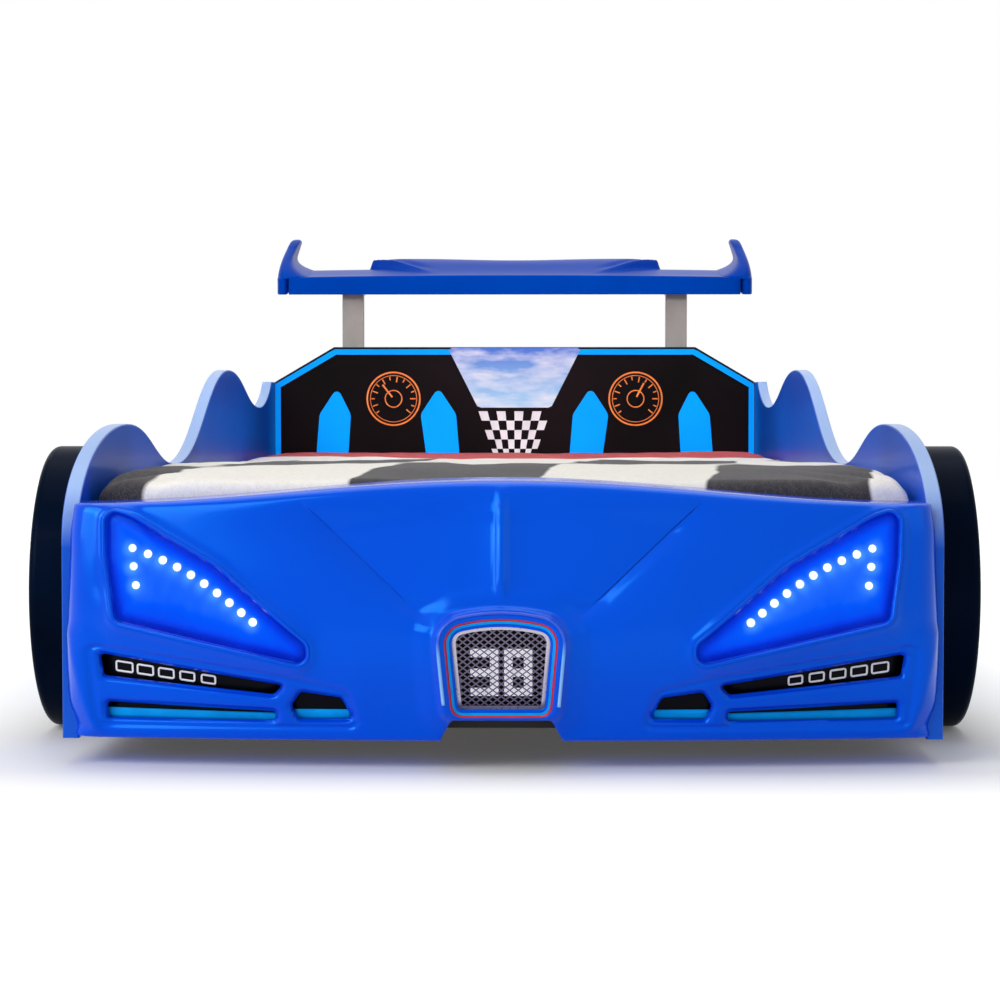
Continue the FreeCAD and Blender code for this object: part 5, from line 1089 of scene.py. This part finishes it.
for side, name in ((-1, "left"), (1, "right")):
    x, z = side * 0.232, 0.402
    rings = [ribbon(circle(x, z, radius), -wide, 0, on_head(4))
             for radius, wide in ((.052, .0030), (.045, .0012), (.017, .0020))]
    angles = np.radians(np.linspace(-40, 220, 14))
    ticks = [spoke(x, z, angle, 0.036 if number % 2 else 0.032, 0.0425, 0.0022)
             for number, angle in enumerate(angles)]
    needle = spoke(x, z, math.radians(128 if side < 0 else 62), 0.004, 0.034, 0.0032)
    printed(f"print_gauge_{name}", joined(*rings, *ticks, needle), print_orange)
    wedges = []
    for place, lean in ((0.118, 1), (0.336, -1)):
        middle = side * (place + 0.016)
        outline = ((-.031, .262, .004), (.031, .262, .004), (.034 + .012 * lean, .372, .014),
                   (.012 * lean, .424, .008), (.008 * lean - .030, .372, .014))
        wedge = rounded([(middle + side * far, high, radius) for far, high, radius in outline], 0.003)
        wedges.append(patch(wedge, on_head(5), 5))
    printed(f"print_wedges_{name}", joined(*wedges), print_cyan_self_lit)
print("printed sheets on the headboard at y =", round(HEAD_FACE, 4))

# %% [markdown]
# ## Mattress and bedspread
# The mattress is a thick pad with a soft crown. The bedspread lies over it: its grid is laid out in
# lengths along the cloth, so that where it turns down beside the mattress it isn't stretched. Its top
# swells near the front, where the real cloth is pushed up, and small creases run over it.

# %% The shape of the bedding
MAT_LOW, MAT_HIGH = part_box("mattress")
MAT_TOP = MAT_HIGH[2]


def bed_height(x, y):
    """Height of the bedding's top: a swelling near the front, a fall at the sides and small creases."""
    run = y - FRONT
    swell = 0.0205 * fade(run, -0.12, 0.24) * (1 - fade(run, 0.46, 1.35)) * (1 - 0.22 * (x / 0.45) ** 2)
    heap = 0.007 * np.exp(-((x - 0.36) / 0.09) ** 2 - ((run - 1.85) / 0.14) ** 2)
    heap += 0.004 * np.exp(-((x + 0.30) / 0.10) ** 2 - ((run - 1.75) / 0.16) ** 2)
    round_side = 1 - 0.55 * np.clip((np.abs(x) - 0.420) / 0.032, 0, 1) ** 2
    creases = 0.0013 * np.sin(x * 21 + 3 * np.sin(run * 7)) * np.sin(run * 16 + 2 * np.sin(x * 9))
    creases += 0.0007 * np.sin(x * 53 + 5 * run) * np.sin(run * 39 - 11 * x)
    corner = np.exp(-((np.abs(x) - 0.41) / 0.05) ** 2 - ((run - 0.14) / 0.09) ** 2)
    creases += 0.0045 * corner * np.sin((np.abs(x) + run * 0.8) * 95)
    return MAT_TOP + 0.0135 - 0.004 * fade(run, 0.3, 0.0) + (swell + heap) * round_side + creases


def pad_grid():
    """The mattress as a closed rounded box: superellipse rings from its middle below to its middle above."""
    half_x, half_y = (MAT_HIGH[0] - MAT_LOW[0]) / 2, (MAT_HIGH[1] - MAT_LOW[1]) / 2
    centre_y = (MAT_HIGH[1] + MAT_LOW[1]) / 2
    turn_angle = np.linspace(0, 2 * np.pi, 161)[:-1]
    ways = np.stack([np.cos(turn_angle), np.sin(turn_angle)], axis=1)
    square = ways / (np.abs(ways) ** 14).sum(axis=1, keepdims=True) ** (1 / 14)
    flat = np.linspace(0.06, 0.96, 14)
    roll = np.sin(np.linspace(0, np.pi / 2, 8))
    size = np.r_[flat, 0.96 + 0.04 * roll, np.full(5, 1.0), 0.96 + 0.04 * roll[::-1], flat[::-1]]
    drop = np.cos(np.linspace(0, np.pi / 2, 8))
    level = np.r_[np.zeros(14), 0.16 * (1 - drop), np.linspace(0.22, 0.78, 5), 1 - 0.16 * (1 - drop[::-1]),
                  np.ones(14)]
    x = square[None, :, 0] * size[:, None] * half_x
    y = centre_y + square[None, :, 1] * half_y * (1 - (1 - size[:, None]) * half_x / half_y)
    squeeze = 1 - 0.004 * np.cos((level[:, None] - 0.5) * np.pi) ** 2
    top = bed_height(x, y) - 0.0055
    return xyz(x * squeeze, y, MAT_LOW[2] + level[:, None] * (top - MAT_LOW[2]))


ticking = Finish("mattress ticking", paint(226, 224, 218), 0.85)
tick_x, tick_y = ticking.axes("xy")
quilt = (tick_x * 52).math("SINE") * (tick_y * 52).math("SINE")
# Painted shade: the ticking is darker in the low half of the quilt pattern, where its bump dips, and lighter
# on the raised parts.
ticking.put("Base Color", ticking.ramp(quilt, (0.0, paint(214, 212, 206)), (0.5, paint(236, 234, 228))))
ticking.bump(quilt + ticking.noise(900.0, 2.0) * 0.2, 0.002, 0.5)
points = pad_grid()
pad = new_piece("mattress_pad", *tube(points), ticking, "ticking", repair=True)
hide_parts("mattress")
print("mattress top between", round(float(points[..., 2].max()), 4), "and", round(MAT_TOP, 4))

# %% The bedspread's cloth
cloth = Finish("bedspread cloth", paint(238, 234, 226), 0.8, Sheen_Weight=0.08, Sheen_Roughness=0.5)
cloth_x, cloth_y = cloth.axes("xy")
run = cloth_y - FRONT
wander = cloth.noise(7.0, 2.0) * 0.04 - 0.02
lane = (cloth_x - 0.025 - run * 0.15 + wander) / 0.1985
lane = lane + lane * lane * 0.035
row = ((run - 0.36 + cloth.noise(11.0, 4.0) * 0.12 - 0.06) / 0.30).math("MAXIMUM", -0.6)
square = (lane * math.pi).math("SINE") * (row * math.pi).math("SINE")
dark = (square * 14.0 + 0.5).clamp() * (run < 1.02)
threads = cloth.noise(1100.0, 2.0, (1, 1, 0.4)) * 0.7 + cloth.noise(160.0, 3.0) * 0.3
cream = cloth.ramp(threads, (0.3, paint(226, 220, 210)), (0.5, paint(250, 246, 238)),
                   (0.75, paint(255, 253, 248)))
charcoal = cloth.ramp(threads, (0.3, paint(20, 19, 23)), (0.5, paint(48, 45, 48)), (0.7, paint(88, 83, 83)))
red_cloth = cloth.ramp(threads, (0.2, paint(170, 36, 36)), (0.8, paint(206, 58, 50)))
edge_of_red = ((run - 1.58 + cloth.noise(4.0, 2.0) * 0.3 - 0.15) * 30).clamp()
checked = cloth.blend(dark, cream, charcoal)
cloth.put("Base Color", cloth.blend(edge_of_red, checked, red_cloth))
cloth.bump(threads, 0.0007, 0.6)


def turned_down(length, flat_half, radius):
    """Along the cloth: flat, then a quarter round, then straight down. Gives the reach and the drop."""
    over = np.clip(np.abs(length) - flat_half, 0, None)
    angle = np.clip(over / radius, 0, np.pi / 2)
    extra = np.clip(over - radius * np.pi / 2, 0, None)
    reach = np.minimum(np.abs(length), flat_half) + radius * np.sin(angle)
    return np.sign(length) * reach, radius * (1 - np.cos(angle)) + extra


def spread_grid():
    """The cloth's points: laid out along the flat cloth, closer together where it turns down."""
    middle = (MAT_HIGH[1] + MAT_LOW[1]) / 2
    turn_lines = np.linspace(0.42, 0.47, 16)
    side, end = CLOTH_WIDE / 2, CLOTH_LONG / 2
    across = np.unique(np.r_[np.linspace(-side, side, 116), -turn_lines[::-1], turn_lines])
    length = np.unique(np.r_[np.linspace(-end, -0.50, 120), np.linspace(-0.50, end, 120)])
    x, drop_x = turned_down(across, 0.4360, 0.0150)
    y, drop_y = turned_down(length, 0.9900, 0.0125)
    grid_x, grid_y = np.meshgrid(x, middle + y, indexing="ij")
    z = bed_height(grid_x, grid_y) - drop_x[:, None] - drop_y[None, :]
    return xyz(grid_x, grid_y, z)


CLOTH_WIDE, CLOTH_LONG = 1.01, 2.09
points = spread_grid()
spread = new_piece("bedspread", points.reshape(-1, 3), [grid_faces(*points.shape[:2])], cloth, "bedspread",
                   facing=(0, 0, 1))
walled(spread, 0.003)
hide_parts("bed_cover")
print("bedspread: top", round(float(points[..., 2].max()), 4), "points", points.shape[0] * points.shape[1])

# %% [markdown]
# ## The studio
# The photograph's ground is plain white and its light is soft: large lamps above and to the left, a pale
# room that shows as long gloss on the plastic, one narrow beam on the headboard, and a faint shadow.
# The ground shows its own shading close to the bed only and plain white further out.

# %% Floor, room and lamps
floor = worn("studio floor", 0.6, (251, 251, 251), (248, 248, 248), 0.6)
floor_points = np.array([(-9, -9, -0.0005), (9, -9, -0.0005), (9, 9, -0.0005), (-9, 9, -0.0005)])
path = floor.tree.nodes.new("ShaderNodeLightPath")
to_eye = Socket(floor.tree, path.outputs["Is Camera Ray"]) + Socket(floor.tree, path.outputs["Is Glossy Ray"])
pale = floor.place.node("ShaderNodeEmission", {}, {"Color": (1, 1, 1, 1), "Strength": 1.15})
floor_x, floor_y = floor.axes("xy")
beside_bed = (floor_x.math("ABSOLUTE") - 0.55).math("MAXIMUM", 0.0)
ahead_of_bed = (floor_y.math("ABSOLUTE") - 1.14).math("MAXIMUM", 0.0)
distance = ((beside_bed * beside_bed + ahead_of_bed * ahead_of_bed).math("SQRT") / 0.24).math("MINIMUM", 1.0)
shaded = Socket(floor.tree, floor.shader.outputs[0])
mixed = to_eye.node("ShaderNodeMixShader", {}, {0: to_eye * (distance * 0.94 + 0.06), 1: shaded, 2: pale})
floor.tree.links.new(mixed.link, floor.tree.nodes["Material Output"].inputs["Surface"])
ground = new_piece("floor", floor_points, np.array([[0, 1, 2, 3]]), floor, smooth=False)


def lamp(name, place, aim, size, watts, spread=math.pi):
    """A rectangular soft lamp that looks from one point at another; spread is the angle of its beam."""
    data = bpy.data.lights.new(name, "AREA")
    data.shape = "RECTANGLE"
    data.size, data.size_y = size
    data.energy = watts
    data.spread = spread
    made = bpy.data.objects.new(name, data)
    bpy.context.collection.objects.link(made)
    made.location = place
    ahead = np.array(aim, float) - np.array(place, float)
    flat = math.hypot(ahead[0], ahead[1])
    made.rotation_euler = (math.atan2(flat, -ahead[2]), 0, math.atan2(-ahead[0], ahead[1]))


lamp("key", (-3.0, -3.9, 3.0), (0, -0.4, 0.2), (3.2, 2.6), 104)
lamp("fill", (3.4, -3.6, 2.2), (0, -0.5, 0.3), (2.6, 2.6), 12)
lamp("top", (0.0, 0.2, 4.2), (0, 0.0, 0.2), (3.6, 4.2), 64)
lamp("side", (-1.7, -2.2, 0.8), (-0.3, -1.15, 0.2), (1.0, 0.8), 7.0)
lamp("board", (0.0, -1.0, 1.0), (0, 1.0, 0.34), (1.0, 0.3), 1.2, math.radians(40))
world = bpy.data.worlds.new("room")
bpy.context.scene.world = world
world.use_nodes = True
tree = world.node_tree
ray = tree.nodes.new("ShaderNodeLightPath")
seen = Socket(tree, ray.outputs["Is Camera Ray"]) + Socket(tree, ray.outputs["Is Glossy Ray"])
seen = (seen + Socket(tree, ray.outputs["Is Transmission Ray"])).math("MINIMUM", 1.0)
back_ground = tree.nodes["Background"]
back_ground.inputs["Color"].default_value = (1, 1, 1, 1)
ROOM_LIGHT = 0.32
tree.links.new((seen * (1 - ROOM_LIGHT) + ROOM_LIGHT).link, back_ground.inputs["Strength"])
print("lamps and room set")
